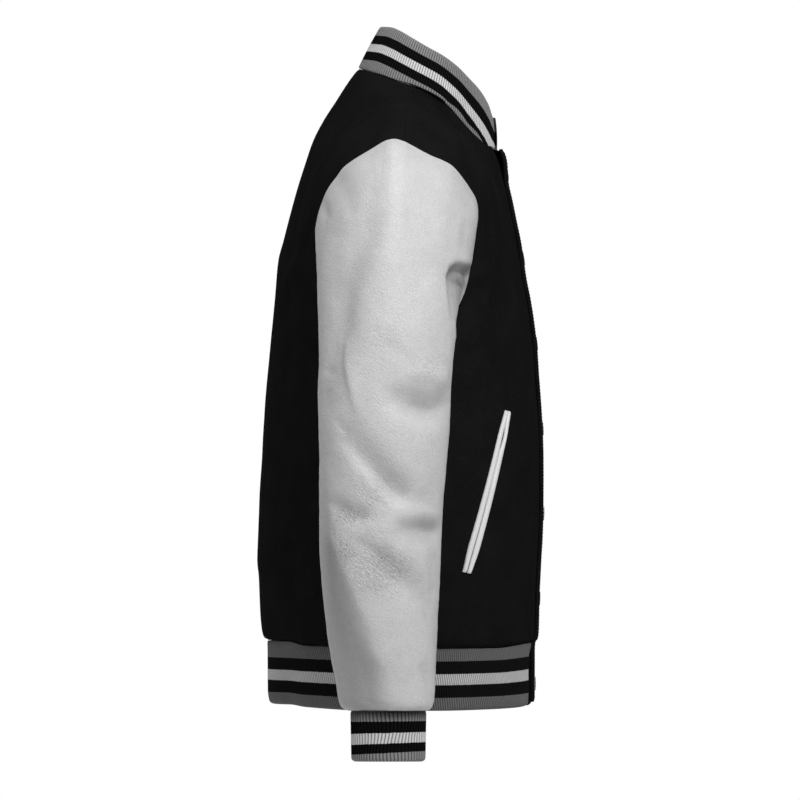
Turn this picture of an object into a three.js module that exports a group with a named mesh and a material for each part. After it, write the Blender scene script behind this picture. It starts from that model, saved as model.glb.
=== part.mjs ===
// Varsity jacket: wool body, leather sleeves, striped rib collar, cuffs and hem, filled out as when worn.
// Millimetres. +Z is up, -Y is the wearer's front, +X is the wearer's left.
// The origin is the middle of the neck opening, level with the neck ends of the shoulder seams.
import * as THREE from "three";

// Walls
const WOOL = 2;
const LEATHER = 1.5;
const RIB_KNIT = 3.4;
const BAND = 4;
const DRAWN_BACK = { cloth: 0.2, rib: 0.38 };

// Front bands: the left one laps over the right one and stands off more at its top corner
const BAND_HALF = 20;
const BAND_FLAT = 8.5;
const BAND_END = -664;
const BAND_FOOT_LEVELS = [BAND_END, -640, -618];
const LAP = 4.6;
const LAP_OPENING = 6;
const LAP_OPENING_END = -110;
const LAP_FADES_OUT = 72;

// Body, from the hem seam up to the armpit, as rounded sections
const SECTION_POWER = 2.4;
const SIDE_SEAM_Y = 5;
const HEM_SEAM = -603.5;
const HEM_BOTTOM = -669.5;
const HEM_MIDDLE = -655;
const WAVE_STARTS = -500;
const NECK_POINT_Y = -10;
const SHOULDER_ARCH = 5;
const COLLAR_FRONT_GAP = 0.3;
const COLLAR_BULGE = 0.8;
const COLLAR_END_LAP = 0.1;

// Number of cells of each wall
const NECK_CELLS = { front: 7, back: 6 };
const CORNER_CELLS = 4;
const TANGENT_STEP = 10;
const SHOULDER_CELLS = 7;
const ARMHOLE_CELLS = 11;
const CAP_CELLS = 6;

// Ribs
const RIB_PITCH = { collar: 3.3, hem: 4.8, cuff: 4 };
const RIB_RELIEF = 0.9;

const BODY_SECTIONS = [
  { z: -672, side: 194, front: 141, back: 139 },
  { z: -655, side: 196, front: 141.4, back: 142.3 },
  { z: -612, side: 197, front: 141.4, back: 142.6 },
  { z: -603.5, side: 198, front: 142, back: 143 },
  { z: -599.5, side: 203, front: 144.6, back: 147.5 },
  { z: -592, side: 206.5, front: 145.6, back: 149.5 },
  { z: -575, side: 211, front: 146, back: 151 },
  { z: -553, side: 215, front: 146.4, back: 152 },
  { z: -531, side: 218, front: 147.4, back: 153 },
  { z: -510, side: 220, front: 148.4, back: 155 },
  { z: -488, side: 221.5, front: 149.8, back: 154.4 },
  { z: -445, side: 222, front: 150.9, back: 153 },
  { z: -402, side: 222, front: 150.9, back: 150 },
  { z: -359, side: 220.5, front: 149.4, back: 147 },
  { z: -315, side: 216, front: 146.4, back: 143.6 },
  { z: -287, side: 212, front: 144.6, back: 141 },
  { z: -275, side: 211, front: 143.2, back: 140 },
];

const CENTRE_FRONT = [
  { z: -287, y: -144.6 },
  { z: -250.6, y: -140.4 },
  { z: -229, y: -136.9 },
  { z: -207, y: -132.6 },
  { z: -186, y: -129.4 },
  { z: -164, y: -126 },
  { z: -142.6, y: -121.6 },
  { z: -121, y: -117.2 },
  { z: -99, y: -112 },
  { z: -78, y: -106.4 },
  { z: -66.4, y: -101.5 },
];

const CENTRE_BACK = [
  { z: -287, y: 141 },
  { z: -229, y: 136 },
  { z: -186, y: 132 },
  { z: -164, y: 126 },
  { z: -121, y: 114.5 },
  { z: -78, y: 101.5 },
  { z: -56, y: 94 },
  { z: -34.6, y: 83 },
  { z: -13, y: 69 },
  { z: 8.6, y: 55 },
  { z: 22, y: 44.5 },
];

// Height of the neck seam and of the collar's top edge, by their place from back to front
const NECK_SEAM = [
  { y: -101.5, z: -66.4 },
  { y: -90, z: -59 },
  { y: -78, z: -48.4 },
  { y: -65, z: -33.6 },
  { y: -54, z: -21 },
  { y: -40.6, z: -10 },
  { y: -27, z: -2.6 },
  { y: -12, z: 3.7 },
  { y: 5, z: 9 },
  { y: 21, z: 15 },
  { y: 44.5, z: 22 },
];

const COLLAR_TOP = [
  { y: -100, z: -31 },
  { y: -95, z: -15 },
  { y: -86, z: 0 },
  { y: -75, z: 12 },
  { y: -62, z: 25 },
  { y: -47, z: 36 },
  { y: -29, z: 46 },
  { y: -12, z: 56 },
  { y: 0, z: 63 },
  { y: 10, z: 67 },
  { y: 20, z: 68 },
];

const NECK_PLAN = { halfWidth: 80, middleY: -28.5, halfDepth: 73 };
const COLLAR_TOP_PLAN = { halfWidth: 66, middleY: -40, halfDepth: 60 };

// Armhole of the left side, from the armpit up to the end of the shoulder seam
const ARMPIT = { x: 212, y: 5, z: -287 };
const SHOULDER_END = { x: 228.5, y: -5.5, z: -58 };
const ARMHOLE = {
  front: [
    ARMPIT,
    { x: 208, y: -24, z: -277 },
    { x: 198, y: -50, z: -254 },
    { x: 190, y: -64, z: -234 },
    { x: 185, y: -73, z: -212 },
    { x: 181, y: -79, z: -176 },
    { x: 180, y: -82.2, z: -156 },
    { x: 181, y: -84.3, z: -131 },
    { x: 184, y: -82, z: -119.6 },
    { x: 189, y: -74.7, z: -107 },
    { x: 196, y: -64.8, z: -93 },
    { x: 204, y: -55, z: -82.8 },
    { x: 219, y: -30, z: -71.3 },
    SHOULDER_END,
  ],
  back: [
    ARMPIT,
    { x: 210, y: 35, z: -277 },
    { x: 205, y: 60, z: -255 },
    { x: 199, y: 78, z: -222 },
    { x: 195, y: 88, z: -185 },
    { x: 194, y: 91, z: -152 },
    { x: 196, y: 88, z: -134.5 },
    { x: 200, y: 78.3, z: -109.6 },
    { x: 206, y: 69.2, z: -96.4 },
    { x: 212, y: 59.3, z: -84.3 },
    { x: 224, y: 36, z: -69 },
    { x: 230, y: 6.4, z: -55 },
    SHOULDER_END,
  ],
};
const APEX_SHARE = 0.962;
const EVEN_FROM_RISE = 0.4;

// Which way each panel runs where it meets the neck and shoulder seams
const TOP_SLOPE = {
  front: { neck: { x: 0, y: 0.3, z: 0.95 }, shoulder: { x: 0.05, y: 0.8, z: 0.6 } },
  back: { neck: { x: 0, y: -0.68, z: 0.73 }, shoulder: { x: 0.05, y: -0.85, z: 0.52 } },
};

// How far the hem seam and the hem's bottom edge wander from level, by place from front to back
const HEM_WAVES = [
  { y: -156, seam: 4.4, bottom: 1.5 },
  { y: -143, seam: 4.2, bottom: 1.2 },
  { y: -128, seam: 2, bottom: -0.5 },
  { y: -105, seam: -1, bottom: -1.8 },
  { y: -40, seam: -1.5, bottom: -3.5 },
  { y: 30, seam: -0.5, bottom: -3.5 },
  { y: 104, seam: 2, bottom: 0 },
  { y: 122, seam: 6.3, bottom: 2.5 },
  { y: 156, seam: 6.3, bottom: 2.5 },
];

// Sleeve below its cap, with its back and front edges as seen from the side
const SLEEVE_SECTIONS = [
  { z: -671.5, middleX: 290, halfX: 30, back: 52.5, front: -27.5 },
  { z: -670, middleX: 290, halfX: 37, back: 58.5, front: -32.5 },
  { z: -666.5, middleX: 290, halfX: 43, back: 63, front: -36 },
  { z: -659, middleX: 290, halfX: 46.5, back: 65.8, front: -37.8 },
  { z: -640, middleX: 290.5, halfX: 49, back: 68.6, front: -38.4 },
  { z: -618, middleX: 291, halfX: 52, back: 73.4, front: -39 },
  { z: -575, middleX: 292, halfX: 55, back: 80, front: -41 },
  { z: -531, middleX: 292, halfX: 57.5, back: 85, front: -43 },
  { z: -488, middleX: 291, halfX: 59, back: 86.4, front: -44 },
  { z: -445, middleX: 290, halfX: 60, back: 86.4, front: -46.4 },
  { z: -402, middleX: 288, halfX: 60, back: 86.6, front: -50.8 },
  { z: -359, middleX: 286, halfX: 60, back: 87.5, front: -54 },
  { z: -316, middleX: 283.5, halfX: 59.5, back: 88, front: -55 },
];
const SLEEVE_LEVELS = [-330, -359, -388, -417, -446, -480, -515, -550, -585, -615, -642, -660, -667.5, -671.5];
const CUFF_LEVELS = [-671.5, -697, -720, -726];
const CUFF = { middleX: 290, middleY: 12.5, halfX: 30, halfY: 40, bottomHalfX: 28.5, bottomHalfY: 39 };
const SEAM_END_TURN = 0.96;
const LEFT_FOLDS_SHARE = 0.8;
const CAP_TURNS_DOWN = { startZ: -170, fade: 110, lessOut: 0.45 };
const CAP = { out: 1, down: 0.34, towardMiddle: 0.0002, armpitDown: 0.9, fullness: 1.02 };

// Largest folds of the body, as soft ridges and valleys from one end to the other.
// across is the distance along the cloth from the centre line.
const BODY_FOLDS = {
  front: [
    { from: { across: 157, z: -150 }, to: { across: 155, z: -235 }, width: 13, depth: -3 },
    { from: { across: 155, z: -235 }, to: { across: 146, z: -330 }, width: 13, depth: -3.4 },
    { from: { across: 187, z: -196 }, to: { across: 158, z: -206 }, width: 13, depth: 4 },
    { from: { across: 201, z: -216 }, to: { across: 185, z: -222 }, width: 10, depth: -3.4 },
    { from: { across: 157, z: -10 }, to: { across: 171, z: -56 }, width: 12, depth: -2.6 },
    { from: { across: 66, z: -508 }, to: { across: 95, z: -598 }, width: 12, depth: -3.6 },
  ],
  back: [
    { from: { across: 179, z: -140 }, to: { across: 157, z: -176 }, width: 12, depth: -4 },
    { from: { across: 150, z: -190 }, to: { across: 105, z: -205 }, width: 13, depth: 3.4 },
    { from: { across: 113, z: -226 }, to: { across: 137, z: -318 }, width: 14, depth: -3.4 },
    { from: { across: 172, z: -500 }, to: { across: 151, z: -598 }, width: 12, depth: -5 },
  ],
};

// Folds of the sleeve's outer side; across is the place from front to back in the side view
const OUTER_SIDE_FADE = 30;
const CAP_FADE = 60;
const SLEEVE_FOLDS = [
  { from: { across: -64, z: -200 }, to: { across: -62, z: -238 }, width: 13, depth: -10 },
  { from: { across: 27, z: -84 }, to: { across: 25, z: -146 }, width: 14, depth: -2.4 },
  { from: { across: 47, z: -184 }, to: { across: 65, z: -257 }, width: 15, depth: -5 },
  { from: { across: 66, z: -272 }, to: { across: 78, z: -334 }, width: 15, depth: -4 },
  { from: { across: -4, z: -338 }, to: { across: -50, z: -344 }, width: 14, depth: -7 },
  { from: { across: 36, z: -402 }, to: { across: -8, z: -442 }, width: 13, depth: -6 },
  { from: { across: 66, z: -455 }, to: { across: 44, z: -464 }, width: 10, depth: -3 },
  { from: { across: -10, z: -478 }, to: { across: -48, z: -486 }, width: 14, depth: -8 },
  { from: { across: 44, z: -497 }, to: { across: -14, z: -548 }, width: 14, depth: -6.5 },
  { from: { across: 66, z: -484 }, to: { across: 38, z: -560 }, width: 12, depth: 3 },
];

// The sleeve's outer side lies flatter behind a ridge that runs down toward the front
const FLATTENED = [
  { z: -671.5, ridge: 8, share: 0.7 },
  { z: -629, ridge: 13, share: 0.85 },
  { z: -607, ridge: 27, share: 0.9 },
  { z: -585, ridge: 38, share: 0.9 },
  { z: -553, ridge: 50, share: 0.85 },
  { z: -520, ridge: 62, share: 0.8 },
  { z: -471, ridge: 75, share: 0.7 },
  { z: -420, ridge: 78, share: 0.5 },
  { z: -380, ridge: 80, share: 0 },
];
const RIDGE_ROUNDING = 0.22;

// Pocket of the right front, as seen from the side, and its two leather welts
const POCKET = { topY: -115.4, topZ: -349, bottomY: -71.4, bottomZ: -523, bow: 2 };
const WELT = { width: 6.9, endWidth: 4.6, taper: 0.12, slit: 1.1, height: 1.9, lift: 1.05, cells: 9 };
const WELT_PROFILE = [
  { across: 0, up: 0 },
  { across: 1, up: 0 },
  { across: 1, up: 0.55 },
  { across: 0.74, up: 1 },
  { across: 0.26, up: 1 },
  { across: 0, up: 0.55 },
];

// Snap caps down the left band
const SNAPS = { count: 7, topZ: -92, spacing: 92, radius: 7.5, height: 1.1, lift: 0.45, facets: 16 };
const SNAP_PROFILE = [
  { out: 0, up: 0 },
  { out: 1, up: 0 },
  { out: 1, up: 0.4 },
  { out: 0.82, up: 0.85 },
  { out: 0, up: 1 },
];

const FINISHES = {
  wool: { color: 0x18181a, roughness: 0.95, metalness: 0 },
  leather: { color: 0xcfcfcf, roughness: 0.5, metalness: 0 },
  rib: { color: 0x8a8a8a, roughness: 0.9, metalness: 0 },
  welt: { color: 0xe4e4e4, roughness: 0.5, metalness: 0 },
  snap: { color: 0x141414, roughness: 0.45, metalness: 0.6 },
};

const vector = (x, y, z) => new THREE.Vector3(x, y, z);
const smooth = (value) => THREE.MathUtils.smoothstep(value, 0, 1);
const sampled = (count, make) => Array.from({ length: count + 1 }, (_, k) => make(k / count));
const mirrored = (rows) => rows.map((row) => row.map((p) => vector(-p.x, p.y, p.z)));

// A smooth curve through a table's rows, without overshoot, read at any value of its key column
function curveOf(rows, key, column) {
  const keys = rows.map((row) => row[key]);
  const values = rows.map((row) => row[column]);
  const secants = keys.slice(1).map((at, k) => (values[k + 1] - values[k]) / (at - keys[k]));
  const slopes = keys.map((_, k) => {
    const before = secants[Math.max(k - 1, 0)];
    const after = secants[Math.min(k, secants.length - 1)];
    return before * after <= 0 ? 0 : (2 * before * after) / (before + after);
  });
  return (at) => {
    const place = Math.min(Math.max(at, keys[0]), keys.at(-1));
    const k = Math.min(Math.max(keys.findIndex((one) => one >= place) - 1, 0), keys.length - 2);
    const span = keys[k + 1] - keys[k];
    return hermite(values[k], slopes[k] * span, values[k + 1], slopes[k + 1] * span, (place - keys[k]) / span);
  };
}

function hermite(start, startSlope, end, endSlope, t) {
  const rise = t * t * (3 - 2 * t);
  return start + (end - start) * rise + startSlope * t * (1 - t) * (1 - t) - endSlope * t * t * (1 - t);
}

function hermitePoint(start, startSlope, end, endSlope, t) {
  const one = (axis) => hermite(start[axis], startSlope[axis], end[axis], endSlope[axis], t);
  return vector(one("x"), one("y"), one("z"));
}

// A line of points that can be read at any distance along it
function walker(points) {
  const marks = [0];
  points.slice(1).forEach((point, k) => marks.push(marks[k] + point.distanceTo(points[k])));
  const length = marks.at(-1);
  const at = (distance) => {
    const place = Math.min(Math.max(distance, 0), length);
    const k = Math.max(marks.findIndex((mark) => mark >= place), 1);
    return points[k - 1].clone().lerp(points[k], (place - marks[k - 1]) / (marks[k] - marks[k - 1]));
  };
  return { length, at };
}

// A smooth line through a few points, keyed by the straight distance between them
function strand(stations) {
  let key = 0;
  const keyed = stations.map((one, k) => {
    const last = stations[Math.max(k - 1, 0)];
    key += Math.hypot(one.x - last.x, one.y - last.y, one.z - last.z);
    return { key, ...one };
  });
  const x = curveOf(keyed, "key", "x");
  const y = curveOf(keyed, "key", "y");
  const z = curveOf(keyed, "key", "z");
  return walker(sampled(160, (share) => vector(x(share * key), y(share * key), z(share * key))));
}

const sideAt = curveOf(BODY_SECTIONS, "z", "side");
const frontAt = curveOf(BODY_SECTIONS, "z", "front");
const backAt = curveOf(BODY_SECTIONS, "z", "back");
const seamWave = curveOf(HEM_WAVES, "y", "seam");
const bottomWave = curveOf(HEM_WAVES, "y", "bottom");
const centreAt = { front: curveOf(CENTRE_FRONT, "z", "y"), back: curveOf(CENTRE_BACK, "z", "y") };
const neckHeight = curveOf(NECK_SEAM, "y", "z");
const collarHeight = curveOf(COLLAR_TOP, "y", "z");

// One half section of the body at a level, from the centre line to the side seam
function halfSection(level, face) {
  const depth = face === "front" ? -frontAt(level) : backAt(level);
  const power = 2 / SECTION_POWER;
  return walker(
    sampled(60, (share) => {
      const turn = (share * Math.PI) / 2;
      const x = sideAt(level) * Math.sin(turn) ** power;
      const y = SIDE_SEAM_Y + (depth - SIDE_SEAM_Y) * Math.cos(turn) ** power;
      return vector(x, y, level);
    }),
  );
}

function hemWave(y, level) {
  if (level >= HEM_SEAM) {
    return seamWave(y) * smooth((WAVE_STARTS - level) / (WAVE_STARTS - HEM_SEAM));
  }
  const share = (HEM_SEAM - level) / (HEM_SEAM - HEM_BOTTOM);
  return seamWave(y) + (bottomWave(y) - seamWave(y)) * share;
}

// Distances of the columns along a line: the front has its first column at the band's edge
function columnPlaces(face, length, cells) {
  if (face === "back") {
    return sampled(cells, (share) => share * length);
  }
  return [0, ...sampled(cells - 1, (share) => BAND_HALF + share * (length - BAND_HALF))];
}

const panelCells = (face) => NECK_CELLS[face] + SHOULDER_CELLS;

function bodyRow(level, face) {
  const line = halfSection(level, face);
  const row = columnPlaces(face, line.length, panelCells(face)).map((place) => line.at(place));
  row.forEach((point) => (point.z += hemWave(point.y, level)));
  return row;
}

function ellipsePoint(plan, height, turn) {
  const y = plan.middleY + plan.halfDepth * Math.cos(turn);
  return vector(plan.halfWidth * Math.sin(turn), y, height(y));
}

const neckPoint = (turn) => ellipsePoint(NECK_PLAN, neckHeight, turn);
const NECK_POINT_TURN = Math.acos((NECK_POINT_Y - NECK_PLAN.middleY) / NECK_PLAN.halfDepth);
const CENTRE_TURN = { front: Math.PI, back: 0 };

// Neck seam from the centre line to the neck point, then the shoulder seam to the armhole
function topRow(face) {
  const from = CENTRE_TURN[face];
  const neck = walker(sampled(80, (share) => neckPoint(from + (NECK_POINT_TURN - from) * share)));
  const row = columnPlaces(face, neck.length, NECK_CELLS[face]).map((place) => neck.at(place));
  const start = neckPoint(NECK_POINT_TURN);
  const end = vector(SHOULDER_END.x, SHOULDER_END.y, SHOULDER_END.z);
  sampled(SHOULDER_CELLS, (share) => {
    const point = start.clone().lerp(end, share);
    point.z += SHOULDER_ARCH * Math.sin(Math.PI * share);
    if (share > 0) {
      row.push(point);
    }
  });
  return row;
}

// Shares of the armhole line at which its rows lie, with one at the sleeve's highest point
function armholeShare(face, k) {
  if (face === "front" || k === ARMHOLE_CELLS) {
    return k / ARMHOLE_CELLS;
  }
  return (APEX_SHARE * k) / (ARMHOLE_CELLS - 1);
}

// Rows of a half panel from the armpit's level up to the neck and shoulder seams
function upperRows(face) {
  const bottom = bodyRow(ARMPIT.z, face);
  const below = bodyRow(ARMPIT.z - TANGENT_STEP, face);
  const top = topRow(face);
  const armhole = strand(ARMHOLE[face]);
  const last = bottom.length - 1;
  const slope = TOP_SLOPE[face];
  const blends = bottom.map((start, column) => {
    const reach = start.distanceTo(top[column]);
    const share = smooth((column - NECK_CELLS[face]) / CORNER_CELLS + 0.5);
    const arrival = vector(slope.neck.x, slope.neck.y, slope.neck.z)
      .lerp(vector(slope.shoulder.x, slope.shoulder.y, slope.shoulder.z), share)
      .normalize()
      .multiplyScalar(reach);
    const departure = start.clone().sub(below[column]).multiplyScalar(reach / TANGENT_STEP);
    return { start, departure, end: top[column], arrival };
  });
  return sampled(ARMHOLE_CELLS, (rise) => {
    const k = Math.round(rise * ARMHOLE_CELLS);
    const row = blends.map((one) => hermitePoint(one.start, one.departure, one.end, one.arrival, rise));
    const z = ARMPIT.z + (top[0].z - ARMPIT.z) * rise;
    const centre = vector(0, centreAt[face](z), z);
    const edge = armhole.at(armhole.length * armholeShare(face, k));
    const depth = (edge.y - centre.y) / (row[last].y - row[0].y);
    const shift = { x: edge.x - row[last].x, centreZ: z - row[0].z, edgeZ: edge.z - row[last].z };
    const evenly = smooth(rise / EVEN_FROM_RISE);
    return row.map((point, column) => {
      const share = smooth(column / last);
      const scale = 1 + (depth - 1) * (evenly + (1 - evenly) * share ** 2);
      const y = centre.y + (point.y - row[0].y) * scale;
      return vector(point.x + shift.x * share, y, point.z + shift.centreZ * (1 - share) + shift.edgeZ * share);
    });
  });
}

const LOWER_LEVELS = [HEM_SEAM, -599.5, -592, -575, -552, -525, -490, -452, -412, -372, -330];

function halfPanel(face) {
  return [...LOWER_LEVELS.map((level) => bodyRow(level, face)), ...upperRows(face)];
}

// How far the left front stands out over the right one
function lapAt(x, z) {
  const opening = smooth((z - LAP_OPENING_END) / (NECK_SEAM[0].z - LAP_OPENING_END));
  const lap = LAP + LAP_OPENING * opening * smooth((BAND_HALF - x) / (2 * BAND_HALF));
  return lap * smooth((LAP_FADES_OUT - x) / (LAP_FADES_OUT - BAND_HALF));
}

const lapped = (row) => row.map((p) => vector(p.x, p.y - lapAt(p.x, p.z), p.z));

// Outward normals of a grid; rows run up the cloth and columns toward the wearer's left
function normalsOf(rows, ring = false) {
  const last = rows[0].length - 1;
  return rows.map((row, i) =>
    row.map((_, j) => {
      const upper = rows[Math.min(i + 1, rows.length - 1)];
      const lower = rows[Math.max(i - 1, 0)];
      const next = ring ? (j + 1) % row.length : Math.min(j + 1, last);
      const before = ring ? (j + last) % row.length : Math.max(j - 1, 0);
      const along = row[next].clone().sub(row[before]);
      const up = upper[j].clone().sub(lower[j]);
      return along.cross(up).normalize();
    }),
  );
}

function foldDepth(folds, across, z) {
  return folds.reduce((sum, { from, to, width, depth }) => {
    const run = { across: to.across - from.across, z: to.z - from.z };
    const square = run.across ** 2 + run.z ** 2;
    const share = ((across - from.across) * run.across + (z - from.z) * run.z) / square;
    const near = Math.min(Math.max(share, 0), 1);
    const away = Math.hypot(across - from.across - near * run.across, z - from.z - near * run.z);
    return sum + depth * Math.exp(-((away / width) ** 2));
  }, 0);
}

// Distances along a row from one of its points
function distancesFrom(row, start) {
  const marks = [0];
  row.slice(1).forEach((point, k) => marks.push(marks[k] + point.distanceTo(row[k])));
  return marks.map((mark) => Math.abs(mark - marks[start]));
}

// Folds move every point but those on the seams
function withFolds(rows, folds, startColumn, startAcross) {
  const normals = normalsOf(rows);
  return rows.map((row, i) => {
    const across = distancesFrom(row, startColumn);
    return row.map((point, j) => {
      const onSeam = i === 0 || j === 0 || i === rows.length - 1 || j === row.length - 1;
      const depth = onSeam ? 0 : foldDepth(folds, startAcross + across[j], point.z);
      return point.clone().addScaledVector(normals[i][j], depth);
    });
  });
}

// Rings of the left sleeve, from the armhole down to the cuff seam
const middleXAt = curveOf(SLEEVE_SECTIONS, "z", "middleX");
const halfXAt = curveOf(SLEEVE_SECTIONS, "z", "halfX");
const sleeveBackAt = curveOf(SLEEVE_SECTIONS, "z", "back");
const sleeveFrontAt = curveOf(SLEEVE_SECTIONS, "z", "front");

const ridgeAt = curveOf(FLATTENED, "z", "ridge");
const flatShareAt = curveOf(FLATTENED, "z", "share");

// How far the round sleeve lies outside the flat from its ridge to its back edge
function flatBack(y, z) {
  const back = sleeveBackAt(z);
  const middle = (back + sleeveFrontAt(z)) / 2;
  const bulge = (at) => Math.sqrt(Math.max(1 - ((at - middle) / (back - middle)) ** 2, 0));
  const ridge = ridgeAt(z);
  const share = Math.min(Math.max((y - ridge) / (back - ridge), 0), 1);
  const inset = halfXAt(z) * (bulge(y) - bulge(ridge) * (1 - share)) * bulge(y);
  return flatShareAt(z) * Math.max(inset, 0) * smooth(share / RIDGE_ROUNDING);
}

const ringTurns = [
  ...sampled(ARMHOLE_CELLS, (share) => Math.PI * SEAM_END_TURN * share),
  ...sampled(ARMHOLE_CELLS - 1, (share) => Math.PI * (1 + share)).slice(0, -1),
];

function tubeRing(level) {
  const middleY = (sleeveBackAt(level) + sleeveFrontAt(level)) / 2;
  const halfY = (sleeveBackAt(level) - sleeveFrontAt(level)) / 2;
  return ringTurns.map((turn) => {
    const x = middleXAt(level) - halfXAt(level) * Math.cos(turn);
    return vector(x, middleY - halfY * Math.sin(turn), level);
  });
}

function capRings(armholeRing) {
  const landing = tubeRing(SLEEVE_LEVELS[0]);
  const below = tubeRing(SLEEVE_LEVELS[0] - TANGENT_STEP);
  const middleY = (landing[0].y + landing[ARMHOLE_CELLS].y) / 2;
  const blends = armholeRing.map((start, k) => {
    const reach = start.distanceTo(landing[k]) * CAP.fullness;
    const low = smooth((CAP_TURNS_DOWN.startZ - start.z) / CAP_TURNS_DOWN.fade);
    const aside = CAP.towardMiddle * (middleY - start.y);
    const out = CAP.out - CAP_TURNS_DOWN.lessOut * low;
    const departure = vector(out, aside, -CAP.down - (CAP.armpitDown - CAP.down) * low);
    const arrival = below[k].clone().sub(landing[k]).multiplyScalar(reach / TANGENT_STEP);
    return { start, departure: departure.normalize().multiplyScalar(reach), end: landing[k], arrival };
  });
  return sampled(CAP_CELLS, (share) =>
    blends.map((one) => hermitePoint(one.start, one.departure, one.end, one.arrival, share)),
  ).slice(0, -1);
}

function sleeveRings(foldShare) {
  const start = LOWER_LEVELS.length;
  const frontEdge = frontHalf.slice(start).map((row) => row.at(-1));
  const backEdge = backHalf.slice(start + 1, -1).map((row) => row.at(-1));
  const armholeRing = [...frontEdge, ...backEdge.reverse()].map((point) => point.clone());
  const rings = [...capRings(armholeRing), ...SLEEVE_LEVELS.map(tubeRing)];
  const upward = [...rings].reverse();
  const normals = normalsOf(upward, true).reverse();
  return rings.map((ring, i) =>
    ring.map((point, k) => {
      const outward = point.x - middleXAt(Math.min(point.z, SLEEVE_LEVELS[0]));
      const onSeam = i === 0 || i === rings.length - 1;
      const onOuterSide = smooth(outward / OUTER_SIDE_FADE);
      const onCap = smooth((point.z - SLEEVE_LEVELS[0]) / CAP_FADE);
      const shaped = foldDepth(SLEEVE_FOLDS, point.y, point.z) - flatBack(point.y, point.z);
      const depth = onSeam ? 0 : Math.max(onOuterSide, onCap) * shaped;
      return point.clone().addScaledVector(normals[i][k], depth * foldShare);
    }),
  );
}

function cuffRing(level) {
  const share = (CUFF_LEVELS[0] - level) / (CUFF_LEVELS[0] - CUFF_LEVELS.at(-1));
  const halfX = CUFF.halfX + (CUFF.bottomHalfX - CUFF.halfX) * share;
  const halfY = CUFF.halfY + (CUFF.bottomHalfY - CUFF.halfY) * share;
  return ringTurns.map((turn) =>
    vector(CUFF.middleX - halfX * Math.cos(turn), CUFF.middleY - halfY * Math.sin(turn), level),
  );
}

// Faces of a solid, gathered as triangles of points
class Faces {
  constructor() {
    this.corners = [];
  }
  triangle(a, b, c) {
    this.corners.push(a, b, c);
  }
  quad(a, b, c, d) {
    this.triangle(a, b, c);
    this.triangle(a, c, d);
  }
  geometry() {
    const geometry = new THREE.BufferGeometry().setFromPoints(this.corners);
    geometry.computeVertexNormals();
    return geometry;
  }
}

// Directions through the wall at the seams, shared by all pieces that meet there
const seamDirections = new Map();
const seamKey = (point) => [point.x, point.y, point.z].map((value) => value.toFixed(1)).join(" ");

function onEdge(piece, i, j) {
  const sideEdge = !piece.ring && (j === 0 || j === piece.rows[0].length - 1);
  return sideEdge || i === 0 || i === piece.rows.length - 1;
}

function shareSeams(piece) {
  piece.normals = normalsOf(piece.rows, piece.ring);
  piece.rows.forEach((row, i) =>
    row.forEach((point, j) => {
      if (onEdge(piece, i, j)) {
        const sum = seamDirections.get(seamKey(point)) ?? vector(0, 0, 0);
        seamDirections.set(seamKey(point), sum.add(piece.normals[i][j]));
      }
    }),
  );
}

// Outer points drawn back a little from the piece's own edges, which leaves the gap at each seam
function drawnBack(piece) {
  const { rows, ring } = piece;
  const lastRow = rows.length - 1;
  const lastColumn = rows[0].length - 1;
  const reach = piece.ribPitch ? DRAWN_BACK.rib : DRAWN_BACK.cloth;
  const toward = (point, inner) => inner.clone().sub(point).setLength(reach);
  return rows.map((row, i) =>
    row.map((point, j) => {
      const moved = point.clone();
      if (i === 0 || i === lastRow) {
        moved.add(toward(point, rows[i === 0 ? 1 : lastRow - 1][j]));
      }
      if (!ring && (j === 0 || j === lastColumn)) {
        moved.add(toward(point, row[j === 0 ? 1 : lastColumn - 1]));
      }
      return moved;
    }),
  );
}

function wallLayers(piece) {
  const outer = drawnBack(piece);
  const through = piece.rows.map((row, i) =>
    row.map((point, j) =>
      onEdge(piece, i, j) ? seamDirections.get(seamKey(point)).clone().normalize() : piece.normals[i][j],
    ),
  );
  const inner = outer.map((row, i) =>
    row.map((point, j) => point.clone().addScaledVector(through[i][j], -piece.thickness)),
  );
  return { outer, inner, through };
}

function wallGeometry(piece) {
  const { outer, inner } = wallLayers(piece);
  const faces = new Faces();
  const columns = outer[0].length;
  const cells = piece.ring ? columns : columns - 1;
  const lastRow = outer.length - 1;
  for (let j = 0; j < cells; j += 1) {
    const next = (j + 1) % columns;
    for (let i = 0; i < lastRow; i += 1) {
      faces.quad(outer[i][j], outer[i][next], outer[i + 1][next], outer[i + 1][j]);
      faces.quad(inner[i][next], inner[i][j], inner[i + 1][j], inner[i + 1][next]);
    }
    faces.quad(inner[0][j], inner[0][next], outer[0][next], outer[0][j]);
    faces.quad(outer[lastRow][j], outer[lastRow][next], inner[lastRow][next], inner[lastRow][j]);
  }
  if (!piece.ring) {
    const end = columns - 1;
    for (let i = 0; i < lastRow; i += 1) {
      faces.quad(inner[i][0], outer[i][0], outer[i + 1][0], inner[i + 1][0]);
      faces.quad(outer[i][end], inner[i][end], inner[i + 1][end], outer[i + 1][end]);
    }
  }
  return faces.geometry();
}

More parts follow.
